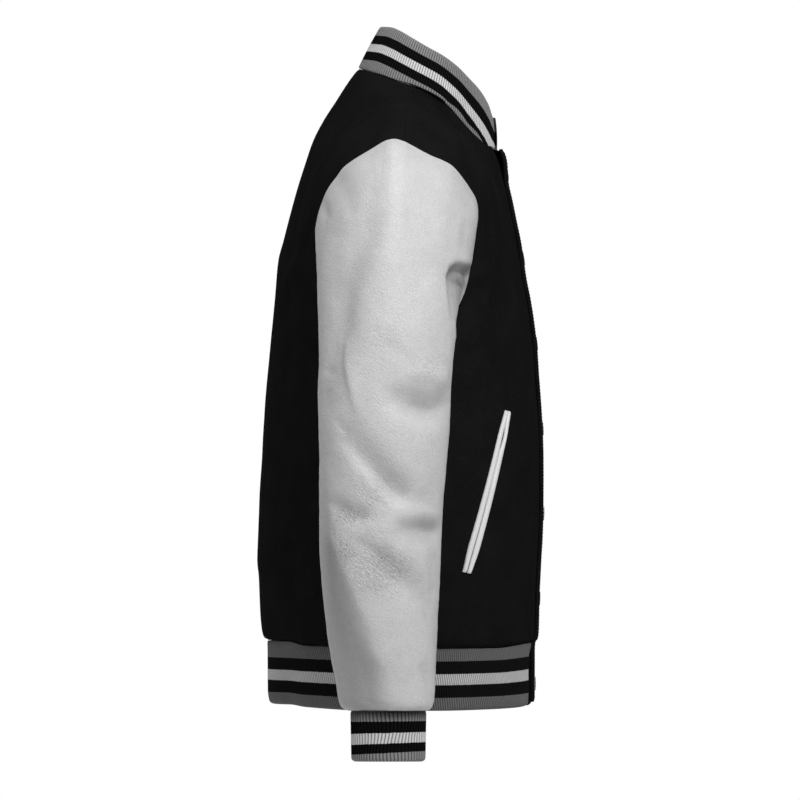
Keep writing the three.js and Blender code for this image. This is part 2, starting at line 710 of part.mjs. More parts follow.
// Each cell of a rib wall's outer side is raised into ribs; its inner side stays plain
function ribbedGeometry(piece) {
  const { outer, inner, through } = wallLayers(piece);
  const faces = new Faces();
  const columns = outer[0].length;
  const cells = piece.ring ? columns : columns - 1;
  const lastRow = outer.length - 1;
  for (let j = 0; j < cells; j += 1) {
    const next = (j + 1) % columns;
    const ribs = Math.max(Math.round(outer[1][j].distanceTo(outer[1][next]) / piece.ribPitch), 1);
    const fine = outer.map((row, i) =>
      sampled(2 * ribs, (share) => {
        const raised = Math.round(share * 2 * ribs) % 2 ? RIB_RELIEF * (i === 0 || i === lastRow ? 0.4 : 1) : 0;
        const direction = through[i][j].clone().lerp(through[i][next], share).normalize();
        return row[j].clone().lerp(row[next], share).addScaledVector(direction, raised);
      }),
    );
    for (let i = 0; i < lastRow; i += 1) {
      for (let k = 0; k < 2 * ribs; k += 1) {
        faces.quad(fine[i][k], fine[i][k + 1], fine[i + 1][k + 1], fine[i + 1][k]);
      }
      faces.quad(inner[i][next], inner[i][j], inner[i + 1][j], inner[i + 1][next]);
    }
    for (let k = 0; k < 2 * ribs; k += 1) {
      const near = k < ribs ? j : next;
      faces.triangle(fine[0][k + 1], fine[0][k], inner[0][near]);
      faces.triangle(fine[lastRow][k], fine[lastRow][k + 1], inner[lastRow][near]);
    }
    faces.triangle(fine[0][ribs], inner[0][j], inner[0][next]);
    faces.triangle(inner[lastRow][j], fine[lastRow][ribs], inner[lastRow][next]);
  }
  if (!piece.ring) {
    const end = columns - 1;
    for (let i = 0; i < lastRow; i += 1) {
      faces.quad(inner[i][0], outer[i][0], outer[i + 1][0], inner[i + 1][0]);
      faces.quad(outer[i][end], inner[i][end], inner[i + 1][end], outer[i + 1][end]);
    }
  }
  return faces.geometry();
}

// Body panels: rows run up from the hem seam, columns toward the wearer's left
const frontHalf = halfPanel("front");
const backHalf = halfPanel("back");

const plainLeft = frontHalf.map((row) => lapped(row.slice(1)));
const plainRight = mirrored(frontHalf.map((row) => row.slice(1))).map((row) => row.reverse());
const plainBack = backHalf.map((row) => [...row.toReversed(), ...mirrored([row.slice(1)])[0]]);
const frontLeftRows = withFolds(plainLeft, BODY_FOLDS.front, 0, BAND_HALF);
const frontRightRows = withFolds(plainRight, BODY_FOLDS.front, panelCells("front") - 1, BAND_HALF);
const backRows = withFolds(plainBack, BODY_FOLDS.back, panelCells("back"), 0);

// Hem: one strip from the right band's edge round the back to the left band's edge
function hemRow(level) {
  const front = bodyRow(level, "front").slice(1);
  const back = bodyRow(level, "back");
  const left = [...lapped(front), ...back.slice(0, -1).reverse()];
  const right = [...mirrored([back])[0].slice(1), ...mirrored([front])[0].slice(0, -1).reverse()];
  return [...left, ...right];
}
const hemRows = [HEM_BOTTOM, HEM_MIDDLE, HEM_SEAM].map(hemRow);

// Collar: one strip from the left front end round the back to the right front end
function collarRow(share) {
  const frontTop = topRow("front").slice(0, NECK_CELLS.front + 1);
  const backTop = topRow("back").slice(0, NECK_CELLS.back);
  const half = [...frontTop, ...backTop.reverse()];
  half[0].x = COLLAR_FRONT_GAP;
  const leftBase = half.map((p, k) => {
    const lap = lapAt(Math.max(p.x, BAND_HALF), p.z) * (k === 0 ? COLLAR_END_LAP : 1);
    return p.y > NECK_POINT_Y ? p.clone() : vector(p.x, p.y - lap, p.z);
  });
  const rightBase = mirrored([half.slice(0, -1)])[0].reverse();
  const base = [...leftBase, ...rightBase];
  const turnAt = (p, side) => {
    const turn = Math.acos(THREE.MathUtils.clamp((p.y - NECK_PLAN.middleY) / NECK_PLAN.halfDepth, -1, 1));
    const top = ellipsePoint(COLLAR_TOP_PLAN, collarHeight, turn);
    return vector(top.x * side, top.y, top.z);
  };
  const seats = [...half, ...half.slice(0, -1).reverse()];
  return base.map((p, k) => {
    const side = k < half.length ? 1 : -1;
    const top = turnAt(seats[k], side);
    if (k === 0 || k === base.length - 1) {
      top.x = COLLAR_FRONT_GAP * side;
    }
    const settled = p.clone().lerp(top, share);
    const bulge = COLLAR_BULGE * Math.sin(Math.PI * share);
    return settled.add(vector(settled.x, settled.y - COLLAR_TOP_PLAN.middleY, 0).setLength(bulge));
  });
}
const collarRows = [0, 0.5, 1].map(collarRow);

// Bands: four columns across, following the fronts from the band's foot to the neck seam
function bandRows(side) {
  const foot = BAND_FOOT_LEVELS.map((level) => {
    const edge = halfSection(level, "front").at(BAND_HALF);
    edge.z += level > BAND_END ? hemWave(edge.y, level) : 0;
    return { edge, centre: vector(0, -frontAt(level), edge.z) };
  });
  const along = [...foot, ...frontHalf.map(([centre, edge]) => ({ edge, centre }))];
  return along.map(({ edge, centre }) => {
    const share = BAND_FLAT / BAND_HALF;
    const middle = centre.clone().lerp(edge, share);
    middle.y = centre.y + (edge.y - centre.y) * share ** 2;
    const half = [middle, edge];
    const row = [...mirrored([half])[0].reverse(), ...half.map((p) => p.clone())];
    return side === "left" ? lapped(row) : row;
  });
}
const bandLeftRows = bandRows("left");
const bandRightRows = bandRows("right");

const cuffRings = CUFF_LEVELS.map(cuffRing);
const sleeves = { left: sleeveRings(LEFT_FOLDS_SHARE), right: sleeveRings(1) };

// The last ring of a sleeve is the first ring of its cuff
Object.values(sleeves).forEach((rings) => rings.splice(-1, 1, cuffRings[0].map((p) => p.clone())));

const upwardLeft = (rings) => [...rings].reverse().map((ring) => [...ring]);
const upwardRight = (rings) => mirrored([...rings].reverse()).map((ring) => [...ring].reverse());

const pieces = [
  { name: "front_left", rows: frontLeftRows, thickness: WOOL, finish: "wool" },
  { name: "front_right", rows: frontRightRows, thickness: WOOL, finish: "wool" },
  { name: "back", rows: backRows, thickness: WOOL, finish: "wool" },
  { name: "band_left_over", rows: bandLeftRows, thickness: BAND, finish: "wool" },
  { name: "band_right_under", rows: bandRightRows, thickness: BAND, finish: "wool" },
  { name: "sleeve_left", rows: upwardLeft(sleeves.left), thickness: LEATHER, ring: true, finish: "leather" },
  { name: "sleeve_right", rows: upwardRight(sleeves.right), thickness: LEATHER, ring: true, finish: "leather" },
  { name: "hem_rib", rows: hemRows, thickness: RIB_KNIT, ribPitch: RIB_PITCH.hem, finish: "rib" },
  { name: "collar_rib", rows: collarRows, thickness: RIB_KNIT, ribPitch: RIB_PITCH.collar, finish: "rib" },
  {
    name: "cuff_left",
    rows: upwardLeft(cuffRings),
    thickness: RIB_KNIT,
    ribPitch: RIB_PITCH.cuff,
    ring: true,
    finish: "rib",
  },
  {
    name: "cuff_right",
    rows: upwardRight(cuffRings),
    thickness: RIB_KNIT,
    ribPitch: RIB_PITCH.cuff,
    ring: true,
    finish: "rib",
  },
];
pieces.forEach(shareSeams);

// The point of a panel's flat faces that the side view shows at a place, with the face's normal
function seenFromSide(rows, y, z) {
  for (let i = 0; i < rows.length - 1; i += 1) {
    for (let j = 0; j < rows[0].length - 1; j += 1) {
      const quad = [rows[i][j], rows[i][j + 1], rows[i + 1][j + 1], rows[i + 1][j]];
      for (const [a, b, c] of [quad.slice(0, 3), [quad[0], quad[2], quad[3]]]) {
        const area = (b.y - a.y) * (c.z - a.z) - (c.y - a.y) * (b.z - a.z);
        const p = ((y - a.y) * (c.z - a.z) - (c.y - a.y) * (z - a.z)) / area;
        const q = ((b.y - a.y) * (z - a.z) - (y - a.y) * (b.z - a.z)) / area;
        if (p >= 0 && q >= 0 && p + q <= 1) {
          const point = a.clone().multiplyScalar(1 - p - q).addScaledVector(b, p).addScaledVector(c, q);
          const normal = b.clone().sub(a).cross(c.clone().sub(a)).normalize();
          return { point, normal: normal.x > 0 ? normal.negate() : normal };
        }
      }
    }
  }
  throw new Error(`nothing is seen at ${y}, ${z}`);
}

// One welt beside the pocket's slit: toward is +1 on the front side and -1 on the back side
function weltGeometry(rows, toward) {
  const rowShares = LOWER_LEVELS.map((level) => (level - POCKET.topZ) / (POCKET.bottomZ - POCKET.topZ));
  const shares = [...sampled(WELT.cells, (share) => share), ...rowShares.filter((one) => one > 0 && one < 1)];
  const sections = shares.sort((a, b) => a - b).map((share) => {
    const y = POCKET.topY + (POCKET.bottomY - POCKET.topY) * share - POCKET.bow * Math.sin(Math.PI * share);
    const z = POCKET.topZ + (POCKET.bottomZ - POCKET.topZ) * share;
    const seat = seenFromSide(rows, y, z);
    const run = vector(0, POCKET.bottomY - POCKET.topY, POCKET.bottomZ - POCKET.topZ);
    run.addScaledVector(seat.normal, -run.dot(seat.normal)).normalize();
    const across = seat.normal.clone().cross(run).normalize();
    const aside = across.y < 0 ? across : across.negate();
    const full = smooth(Math.min(share, 1 - share) / WELT.taper);
    const width = WELT.endWidth + (WELT.width - WELT.endWidth) * full;
    return WELT_PROFILE.map((corner) => {
      const distance = toward * (WELT.slit / 2 + corner.across * width);
      const spot = seenFromSide(rows, y + aside.y * distance, z + aside.z * distance);
      return spot.point.addScaledVector(spot.normal, WELT.lift + corner.up * WELT.height);
    });
  });
  return loftGeometry(sections, toward < 0);
}

// A closed solid through sections of equal count, with flat ends
function loftGeometry(sections, flipped) {
  const faces = new Faces();
  const turn = (a, b, c) => (flipped ? faces.triangle(a, c, b) : faces.triangle(a, b, c));
  const count = sections[0].length;
  sections.slice(1).forEach((section, i) => {
    const last = sections[i];
    section.forEach((_, k) => {
      const next = (k + 1) % count;
      turn(last[k], last[next], section[next]);
      turn(last[k], section[next], section[k]);
    });
  });
  for (let k = 1; k < count - 1; k += 1) {
    turn(sections[0][0], sections[0][k + 1], sections[0][k]);
    turn(sections.at(-1)[0], sections.at(-1)[k], sections.at(-1)[k + 1]);
  }
  return faces.geometry();
}

function snapMesh(index) {
  const profile = SNAP_PROFILE.map((p) => new THREE.Vector2(p.out * SNAPS.radius, p.up * SNAPS.height));
  const z = SNAPS.topZ - SNAPS.spacing * index;
  const above = bandLeftRows.findIndex((row) => row[1].z > z);
  const [low, high] = [bandLeftRows[above - 1], bandLeftRows[above]];
  const share = (z - low[1].z) / (high[1].z - low[1].z);
  const seat = low[1].clone().lerp(high[1], share).lerp(low[2].clone().lerp(high[2], share), 0.5);
  const normal = high[2].clone().sub(low[1]).cross(high[1].clone().sub(low[2])).normalize();
  const mesh = new THREE.Mesh(new THREE.LatheGeometry(profile, SNAPS.facets));
  mesh.quaternion.setFromUnitVectors(vector(0, 1, 0), normal);
  mesh.position.copy(seat.addScaledVector(normal, SNAPS.lift));
  return mesh;
}

const jacket = new THREE.Group();

function add(name, mesh, finish) {
  mesh.name = name;
  mesh.material = new THREE.MeshStandardMaterial(FINISHES[finish]);
  jacket.add(mesh);
}

pieces.forEach((piece) => {
  const geometry = piece.ribPitch ? ribbedGeometry(piece) : wallGeometry(piece);
  add(piece.name, new THREE.Mesh(geometry), piece.finish);
});

for (const [side, rows] of [
  ["right", frontRightRows],
  ["left", mirrored(frontLeftRows)],
]) {
  for (const [place, toward] of [
    ["front", 1],
    ["back", -1],
  ]) {
    const mesh = new THREE.Mesh(weltGeometry(rows, toward));
    if (side === "left") {
      mesh.scale.x = -1;
    }
    add(`pocket_welt_${side}_${place}`, mesh, "welt");
  }
}

for (let index = 0; index < SNAPS.count; index += 1) {
  add(`snap_cap_${index + 1}`, snapMesh(index), "snap");
}

export default jacket;
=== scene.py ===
# Looks of a varsity jacket: melton wool body, leather sleeves, striped rib knit, filled out as when worn.
# Shapes are worked out in millimetres and become metres when a mesh is made.
import math

import bpy
import numpy as np
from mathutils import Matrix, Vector, noise
from mathutils.bvhtree import BVHTree


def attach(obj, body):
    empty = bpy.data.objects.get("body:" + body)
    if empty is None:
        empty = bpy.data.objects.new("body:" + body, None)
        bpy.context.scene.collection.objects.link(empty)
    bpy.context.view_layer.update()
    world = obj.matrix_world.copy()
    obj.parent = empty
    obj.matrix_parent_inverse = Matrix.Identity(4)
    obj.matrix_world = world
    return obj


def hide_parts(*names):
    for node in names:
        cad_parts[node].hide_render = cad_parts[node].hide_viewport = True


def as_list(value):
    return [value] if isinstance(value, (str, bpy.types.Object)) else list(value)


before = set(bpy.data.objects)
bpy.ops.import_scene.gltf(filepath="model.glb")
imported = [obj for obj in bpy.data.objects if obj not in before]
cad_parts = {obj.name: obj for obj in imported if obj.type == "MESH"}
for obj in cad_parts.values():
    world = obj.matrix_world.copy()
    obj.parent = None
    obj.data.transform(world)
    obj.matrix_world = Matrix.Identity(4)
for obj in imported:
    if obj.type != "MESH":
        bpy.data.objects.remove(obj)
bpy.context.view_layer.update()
bpy.ops.object.select_all(action="DESELECT")
mm = 0.001
samples = {"strand": 240, "section": 160, "seam": 200, "collar": 300}  # points along each kind of line
print("frame loaded")


# Curves, lines and grids

def smooth(t):
    t = np.clip(t, 0, 1)
    return t * t * (3 - 2 * t)


def bell(distance, width):
    return np.exp(-((distance / width) ** 2))


def unit(vectors):
    return vectors / np.linalg.norm(vectors, axis=-1, keepdims=True)


def hermite(start, startSlope, end, endSlope, t):
    return start + (end - start) * smooth(t) + startSlope * t * (1 - t) ** 2 - endSlope * t * t * (1 - t)


def curveOf(keys, values):  # smooth, without overshoot
    keys, values = np.array(keys, float), np.array(values, float)
    secants = np.diff(values) / np.diff(keys)
    before, after = np.r_[secants[0], secants], np.r_[secants, secants[-1]]
    sameWay = before * after > 0
    slopes = np.where(sameWay, 2 * before * after / np.where(sameWay, before + after, 1), 0)

    def at(place):
        place = np.clip(place, keys[0], keys[-1])
        k = np.clip(np.searchsorted(keys, place) - 1, 0, len(keys) - 2)
        span = keys[k + 1] - keys[k]
        share = (place - keys[k]) / span
        return hermite(values[k], slopes[k] * span, values[k + 1], slopes[k + 1] * span, share)

    return at


def curvesOf(rows):  # the first column is the key
    table = np.array(rows, float)
    return [curveOf(table[:, 0], table[:, column]) for column in range(1, table.shape[1])]


def stacked(*columns):  # arrays or single values, side by side along a last axis
    return np.stack(np.broadcast_arrays(*columns), -1)


def marksOf(points):  # the distance of each point along the line
    return np.r_[0, np.cumsum(np.linalg.norm(np.diff(points, axis=0), axis=1))]


def readAt(places, marks, values):
    return stacked(*[np.interp(places, marks, values[:, c]) for c in range(3)])


def lineOf(points):  # its length, and its points at any distances along it
    marks = marksOf(points)
    return marks[-1], lambda places: readAt(places, marks, points)


def strandOf(stations):
    stations = np.array(stations, float)
    keys = marksOf(stations)
    fine = np.linspace(0, keys[-1], samples["strand"])
    return lineOf(stacked(*[curveOf(keys, stations[:, c])(fine) for c in range(3)]))


def normalsOf(rows, ring=False):
    along = np.roll(rows, -1, axis=1) - np.roll(rows, 1, axis=1) if ring else np.gradient(rows, axis=1)
    return unit(np.cross(along, np.gradient(rows, axis=0)))


def mirrored(rows):  # the other side of the jacket, with its columns in the same order round the wearer
    return (rows * [-1, 1, 1])[:, ::-1]


def upOf(rows):  # distance along each column from its first row
    steps = np.linalg.norm(np.diff(rows, axis=0), axis=2)
    return np.pad(np.cumsum(steps, axis=0), ((1, 0), (0, 0)))


def downOf(rows):  # distance along each column from its last row
    return upOf(rows[::-1])[::-1]


def acrossOf(rows):  # distance along each row from its first column
    return upOf(rows.swapaxes(0, 1)).T


def noiseField(points, size, seed, stretch=(1, 1, 1)):  # about -1 to 1, at any scale in millimetres
    flat = points.reshape(-1, 3) * np.array(stretch) / size + seed * 17.3
    return np.array([noise.noise(Vector(p)) for p in flat]).reshape(points.shape[:-1])


def swelling(points, seed, swells):  # swells: (height, size, stretch)
    return sum(swell[0] * noiseField(points, swell[1], seed + k, swell[2]) for k, swell in enumerate(swells))


def puckered(rows, fromSeam, seed, height, middle, reach, size, stretch=(1, 1, 1)):
    return height * bell(fromSeam - middle, reach) * noiseField(rows, size, seed, stretch)


# A fold runs along a path of (across, up) or (across, up, strength there); it may be steeper on one side,
# and dies away at both ends where it is tapered
def foldField(folds, across, up, tapered=False):
    depth = np.zeros(across.shape)
    for path, widths, height in folds:
        strengths = [point[2] if len(point) > 2 else 1 for point in path]
        path = np.array([point[:2] for point in path], float)
        marks = marksOf(path)
        nearest, side, along = np.full(across.shape, np.inf), 0, 0
        for start, run, mark, length in zip(path, np.diff(path, axis=0), marks, np.diff(marks)):
            share = np.clip(((across - start[0]) * run[0] + (up - start[1]) * run[1]) / length**2, 0, 1)
            dx, dz = across - start[0] - share * run[0], up - start[1] - share * run[1]
            away = np.hypot(dx, dz)
            closer = away < nearest
            nearest = np.where(closer, away, nearest)
            side = np.where(closer, np.sign(run[0] * dz - run[1] * dx), side)
            along = np.where(closer, mark + share * length, along)
        fade = np.sin(np.pi * np.clip(along / marks[-1], 0, 1)) ** 0.6 if tapered else 1
        fade = fade * np.interp(along, marks, strengths)
        depth += height * fade * bell(nearest, np.where(side > 0, *widths))
    return depth


# The wool body, from the hem seam up to the neck and shoulder seams

body = {
    "power": 2.4, "sideSeamY": 5, "hemSeam": -603.5, "hemBottom": -669.5, "waveStarts": -500,
    "armpitZ": -287, "neckPointY": -10, "shoulderArch": 5, "neckShare": 6 / 13, "turnStarts": 5 / 13,
    "turnReach": 4 / 13, "slopeStep": 10, "evenRise": 0.4, "calmReach": 0.16, "calmRounds": 60,
    "thickness": 2, "gap": 0.2, "cell": 3.6, "riseLength": 250, "panelWidth": 285, "edgeRoll": 0.9,
    "edgeRollWidth": 2.2, "freeFrom": 14, "swells": [(1.1, 95, (1, 1, 0.6)), (0.35, 30, (1, 1, 0.8))],
    "puckers": (0.45, 5, 6, 11),
}
borderRows = np.array([0.8, 1.7, 2.8, 4.2])  # distances of the closer rows from a border
evenFrom = 6
nearBorder = len(borderRows) + 2  # rows up to the first even one

bodySections = [  # height, side, front and back half widths
    (-672, 194, 141, 139), (-655, 196, 141.4, 142.3), (-612, 197, 141.4, 142.6), (-603.5, 198, 142, 143),
    (-599.5, 203, 144.6, 147.5), (-592, 206.5, 145.6, 149.5), (-575, 211, 146, 151),
    (-553, 215, 146.4, 152), (-531, 218, 147.4, 153), (-510, 220, 148.4, 155), (-488, 221.5, 149.8, 154.4),
    (-445, 222, 150.9, 153), (-402, 222, 150.9, 150), (-359, 220.5, 149.4, 147), (-315, 216, 146.4, 143.6),
    (-287, 212, 144.6, 141), (-275, 211, 143.2, 140),
]
centreFront = [  # height, y
    (-287, -144.6), (-250.6, -140.4), (-229, -136.9), (-207, -132.6), (-186, -129.4), (-164, -126),
    (-142.6, -121.6), (-121, -117.2), (-99, -112), (-78, -106.4), (-66.4, -101.5),
]
centreBack = [  # height, y
    (-287, 141), (-229, 136), (-186, 132), (-164, 126), (-121, 114.5), (-78, 101.5), (-56, 94), (-34.6, 83),
    (-13, 69), (8.6, 55), (22, 44.5),
]
neckSeam = [  # y, height
    (-101.5, -66.4), (-90, -59), (-78, -48.4), (-65, -33.6), (-54, -21), (-40.6, -10), (-27, -2.6),
    (-12, 3.7), (5, 9), (21, 15), (44.5, 22),
]
hemWaves = [  # y, how far the hem seam and the hem's bottom edge stand off level
    (-156, 4.4, 1.5), (-143, 4.2, 1.2), (-128, 2, -0.5), (-105, -1, -1.8), (-40, -1.5, -3.5),
    (30, -0.5, -3.5), (104, 2, 0), (122, 6.3, 2.5), (156, 6.3, 2.5),
]
neckPlan = {"halfWidth": 80, "middleY": -28.5, "halfDepth": 73}
shoulderEnd = (228.5, -5.5, -58)
armholeFront = [
    (212, 5, -287), (208, -24, -277), (198, -50, -254), (190, -64, -234), (185, -73, -212),
    (181, -79, -176), (180, -82.2, -156), (181, -84.3, -131), (184, -82, -119.6), (189, -74.7, -107),
    (196, -64.8, -93), (204, -55, -82.8), (219, -30, -71.3), shoulderEnd,
]
armholeBack = [
    (212, 5, -287), (210, 35, -277), (205, 60, -255), (199, 78, -222), (195, 88, -185), (194, 91, -152),
    (196, 88, -134.5), (200, 78.3, -109.6), (206, 69.2, -96.4), (212, 59.3, -84.3), (224, 36, -69),
    (230, 6.4, -55), shoulderEnd,
]
topSlope = {  # which way each panel runs where it meets the neck and shoulder seams
    "front": ((0, 0.3, 0.95), (0.05, 0.8, 0.6)),
    "back": ((0, -0.68, 0.73), (0.05, -0.85, 0.52)),
}
band = {
    "half": 20, "foot": -664, "lap": 4.6, "lapOpening": 6, "lapOpeningEnd": -110, "lapFadesOut": 72,
    "thickness": 4,
}

sideAt, frontAt, backAt = curvesOf(bodySections)
seamWave, bottomWave = curvesOf(hemWaves)
neckHeight = curvesOf(neckSeam)[0]
centreAt = {"front": curvesOf(centreFront)[0], "back": curvesOf(centreBack)[0]}
armhole = {"front": strandOf(armholeFront), "back": strandOf(armholeBack)}


def halfSection(level, face):  # from the centre line to the side seam
    turn = np.linspace(0, math.pi / 2, samples["section"])
    depth = -frontAt(level) if face == "front" else backAt(level)
    x = sideAt(level) * np.sin(turn) ** (2 / body["power"])
    y = body["sideSeamY"] + (depth - body["sideSeamY"]) * np.cos(turn) ** (2 / body["power"])
    return lineOf(stacked(x, y, level))


def shareBelowSeam(level):
    return (body["hemSeam"] - level) / (body["hemSeam"] - body["hemBottom"])


def hemWave(y, level):
    if level >= body["hemSeam"]:
        return seamWave(y) * smooth((body["waveStarts"] - level) / (body["waveStarts"] - body["hemSeam"]))
    return seamWave(y) + (bottomWave(y) - seamWave(y)) * shareBelowSeam(level)


def bodyRow(level, face, shares):  # a front starts at the band's edge
    length, at = halfSection(level, face)
    start = band["half"] if face == "front" else 0
    row = at(start + shares * (length - start))
    row[:, 2] += hemWave(row[:, 1], level)
    return row


def ellipsePoints(plan, heightAt, turn):
    y = plan["middleY"] + plan["halfDepth"] * np.cos(turn)
    return stacked(plan["halfWidth"] * np.sin(turn), y, heightAt(y))


neckPointTurn = math.acos((body["neckPointY"] - neckPlan["middleY"]) / neckPlan["halfDepth"])


def topRow(face, shares):  # the neck seam, then the shoulder seam
    middle = math.pi if face == "front" else 0
    turns = np.linspace(middle, neckPointTurn, samples["seam"])
    length, at = lineOf(ellipsePoints(neckPlan, neckHeight, turns))
    start = band["half"] if face == "front" else 0
    neck = at(start + np.clip(shares / body["neckShare"], 0, 1) * (length - start))
    onShoulder = np.clip((shares - body["neckShare"]) / (1 - body["neckShare"]), 0, 1)[:, None]
    neckPoint = ellipsePoints(neckPlan, neckHeight, np.array(neckPointTurn))
    shoulder = neckPoint + (np.array(shoulderEnd) - neckPoint) * onShoulder
    shoulder[:, 2:] += body["shoulderArch"] * np.sin(math.pi * onShoulder)
    return np.where(onShoulder > 0, shoulder, neck)


def upperRows(face, shares, rises):
    bottom = bodyRow(body["armpitZ"], face, shares)
    below = bodyRow(body["armpitZ"] - body["slopeStep"], face, shares)
    top = topRow(face, shares)
    reach = np.linalg.norm(top - bottom, axis=1)[:, None]
    towardShoulder = smooth((shares - body["turnStarts"]) / body["turnReach"])[:, None]
    neckWay, shoulderWay = np.array(topSlope[face])
    arrival = unit(neckWay + (shoulderWay - neckWay) * towardShoulder) * reach
    departure = (bottom - below) * reach / body["slopeStep"]
    rows = hermite(bottom, departure, top, arrival, rises[:, None, None])
    z = body["armpitZ"] + (top[0, 2] - body["armpitZ"]) * rises
    centreY = centreAt[face](z)
    length, at = armhole[face]
    edge = at(length * rises)
    depth = (edge[:, 1] - centreY) / (rows[:, -1, 1] - rows[:, 0, 1])
    share = smooth(shares)[None, :]
    evenly = smooth(rises / body["evenRise"])[:, None]
    scale = 1 + (depth[:, None] - 1) * (evenly + (1 - evenly) * share**2)
    x = rows[..., 0] + (edge[:, 0] - rows[:, -1, 0])[:, None] * share
    y = centreY[:, None] + (rows[..., 1] - rows[:, :1, 1]) * scale
    up = rows[..., 2] + (z - rows[:, 0, 2])[:, None] * (1 - share)
    return stacked(x, y, up + (edge[:, 2] - rows[:, -1, 2])[:, None] * share)


def edgedShares(length, cell):  # evenly spread, with closer ones along both borders
    borders = borderRows / length
    middle = np.linspace(evenFrom / length, 1 - evenFrom / length, max(int(length / cell), 4))
    return np.r_[0, borders, middle, 1 - borders[::-1], 1]


lowerRise = edgedShares(body["armpitZ"] - body["hemSeam"], body["cell"])
lowerLevels = body["hemSeam"] + lowerRise[:-nearBorder] * (body["armpitZ"] - body["hemSeam"])
upperRises = np.r_[0, edgedShares(body["riseLength"], body["cell"])[nearBorder:]]
panelShares = np.unique(np.r_[edgedShares(body["panelWidth"], body["cell"]), body["neckShare"]])


def halfPanel(face, shares):
    lower = np.array([bodyRow(level, face, shares) for level in lowerLevels])
    rows = np.concatenate([lower, upperRows(face, shares, upperRises)])
    # The line between the neck columns and the shoulder columns is eased out below the seams
    calm = bell(shares - body["neckShare"], body["calmReach"])[None, 1:-1, None]
    for _ in range(body["calmRounds"]):
        eased = (rows[:, :-2] + rows[:, 2:]) / 2
        rows[1:-1, 1:-1] += (0.5 * calm * (eased - rows[:, 1:-1]))[1:-1]
    return rows


def lapped(rows):  # the left front stands out over the right one
    x, z = rows[..., 0], rows[..., 2]
    opening = smooth((z - band["lapOpeningEnd"]) / (neckSeam[0][1] - band["lapOpeningEnd"]))
    lap = band["lap"] + band["lapOpening"] * opening * smooth((band["half"] - x) / (2 * band["half"]))
    lap = lap * smooth((band["lapFadesOut"] - x) / (band["lapFadesOut"] - band["half"]))
    moved = rows.copy()
    moved[..., 1] -= lap
    return moved


# Folds of the wool: path of (distance from the centre line, height), width on each side, depth
frontFolds = [
    ([(157, -150), (155, -235)], (13, 13), -3),
    ([(155, -235), (146, -330)], (13, 13), -3.4),
    ([(187, -196), (158, -206)], (13, 13), 4),
    ([(201, -216), (185, -222)], (10, 10), -3.4),
    ([(157, -10), (171, -56)], (12, 12), -2.6),
    ([(66, -508), (95, -598)], (12, 12), -3.6),
]
backFolds = [
    ([(179, -140), (157, -176)], (12, 12), -4),
    ([(150, -190), (105, -205)], (13, 13), 3.4),
    ([(113, -226), (137, -318)], (14, 14), -3.4),
    ([(172, -500), (151, -598)], (12, 12), -5),
]


def borderRoll(rows):  # edges of a cut piece turn in where they are sewn
    across, up = acrossOf(rows), upOf(rows)
    nearest = np.min([across, across[:, -1:] - across, up, up[-1:] - up], axis=0)
    return -body["edgeRoll"] * bell(nearest, body["edgeRollWidth"]), nearest


def shapedPanel(rows, folds, fromCentre, seed):
    roll, nearest = borderRoll(rows)
    depth = foldField(folds, fromCentre, rows[..., 2]) + swelling(rows, seed, body["swells"])
    seamPull = puckered(rows, nearest, seed + 2, *body["puckers"])
    return rows + normalsOf(rows) * (depth * smooth(nearest / body["freeFrom"]) + roll + seamPull)[..., None]


frontHalf, backHalf = halfPanel("front", panelShares), halfPanel("back", panelShares)
plainLeft = lapped(frontHalf)
plainRight = mirrored(frontHalf)
plainBack = np.concatenate([backHalf[:, ::-1], (backHalf * [-1, 1, 1])[:, 1:]], axis=1)
leftAcross = band["half"] + acrossOf(plainLeft)
rightAcross = band["half"] + acrossOf(plainRight[:, ::-1])[:, ::-1]
backDistance = acrossOf(plainBack)
middleColumn = backHalf.shape[1] - 1
backAcross = np.abs(backDistance - backDistance[:, middleColumn : middleColumn + 1])
frontLeftRows = shapedPanel(plainLeft, frontFolds, leftAcross, 3)
frontRightRows = shapedPanel(plainRight, frontFolds, rightAcross, 7)
backRows = shapedPanel(plainBack, backFolds, backAcross, 11)
print("body shaped")


# Shader helpers: what comes out of a node takes plain arithmetic

def feed(value, target):
    if isinstance(value, Signal):
        value.tree.links.new(value.socket, target)
    else:
        target.default_value = value


def place(tree, kind, inputs=None, **settings):
    made = tree.nodes.new("ShaderNode" + kind)
    for name, value in settings.items():
        setattr(made, name, value)
    for socket, value in (inputs or {}).items():
        feed(value, made.inputs[socket])
    return Signal(tree, made.outputs[0])


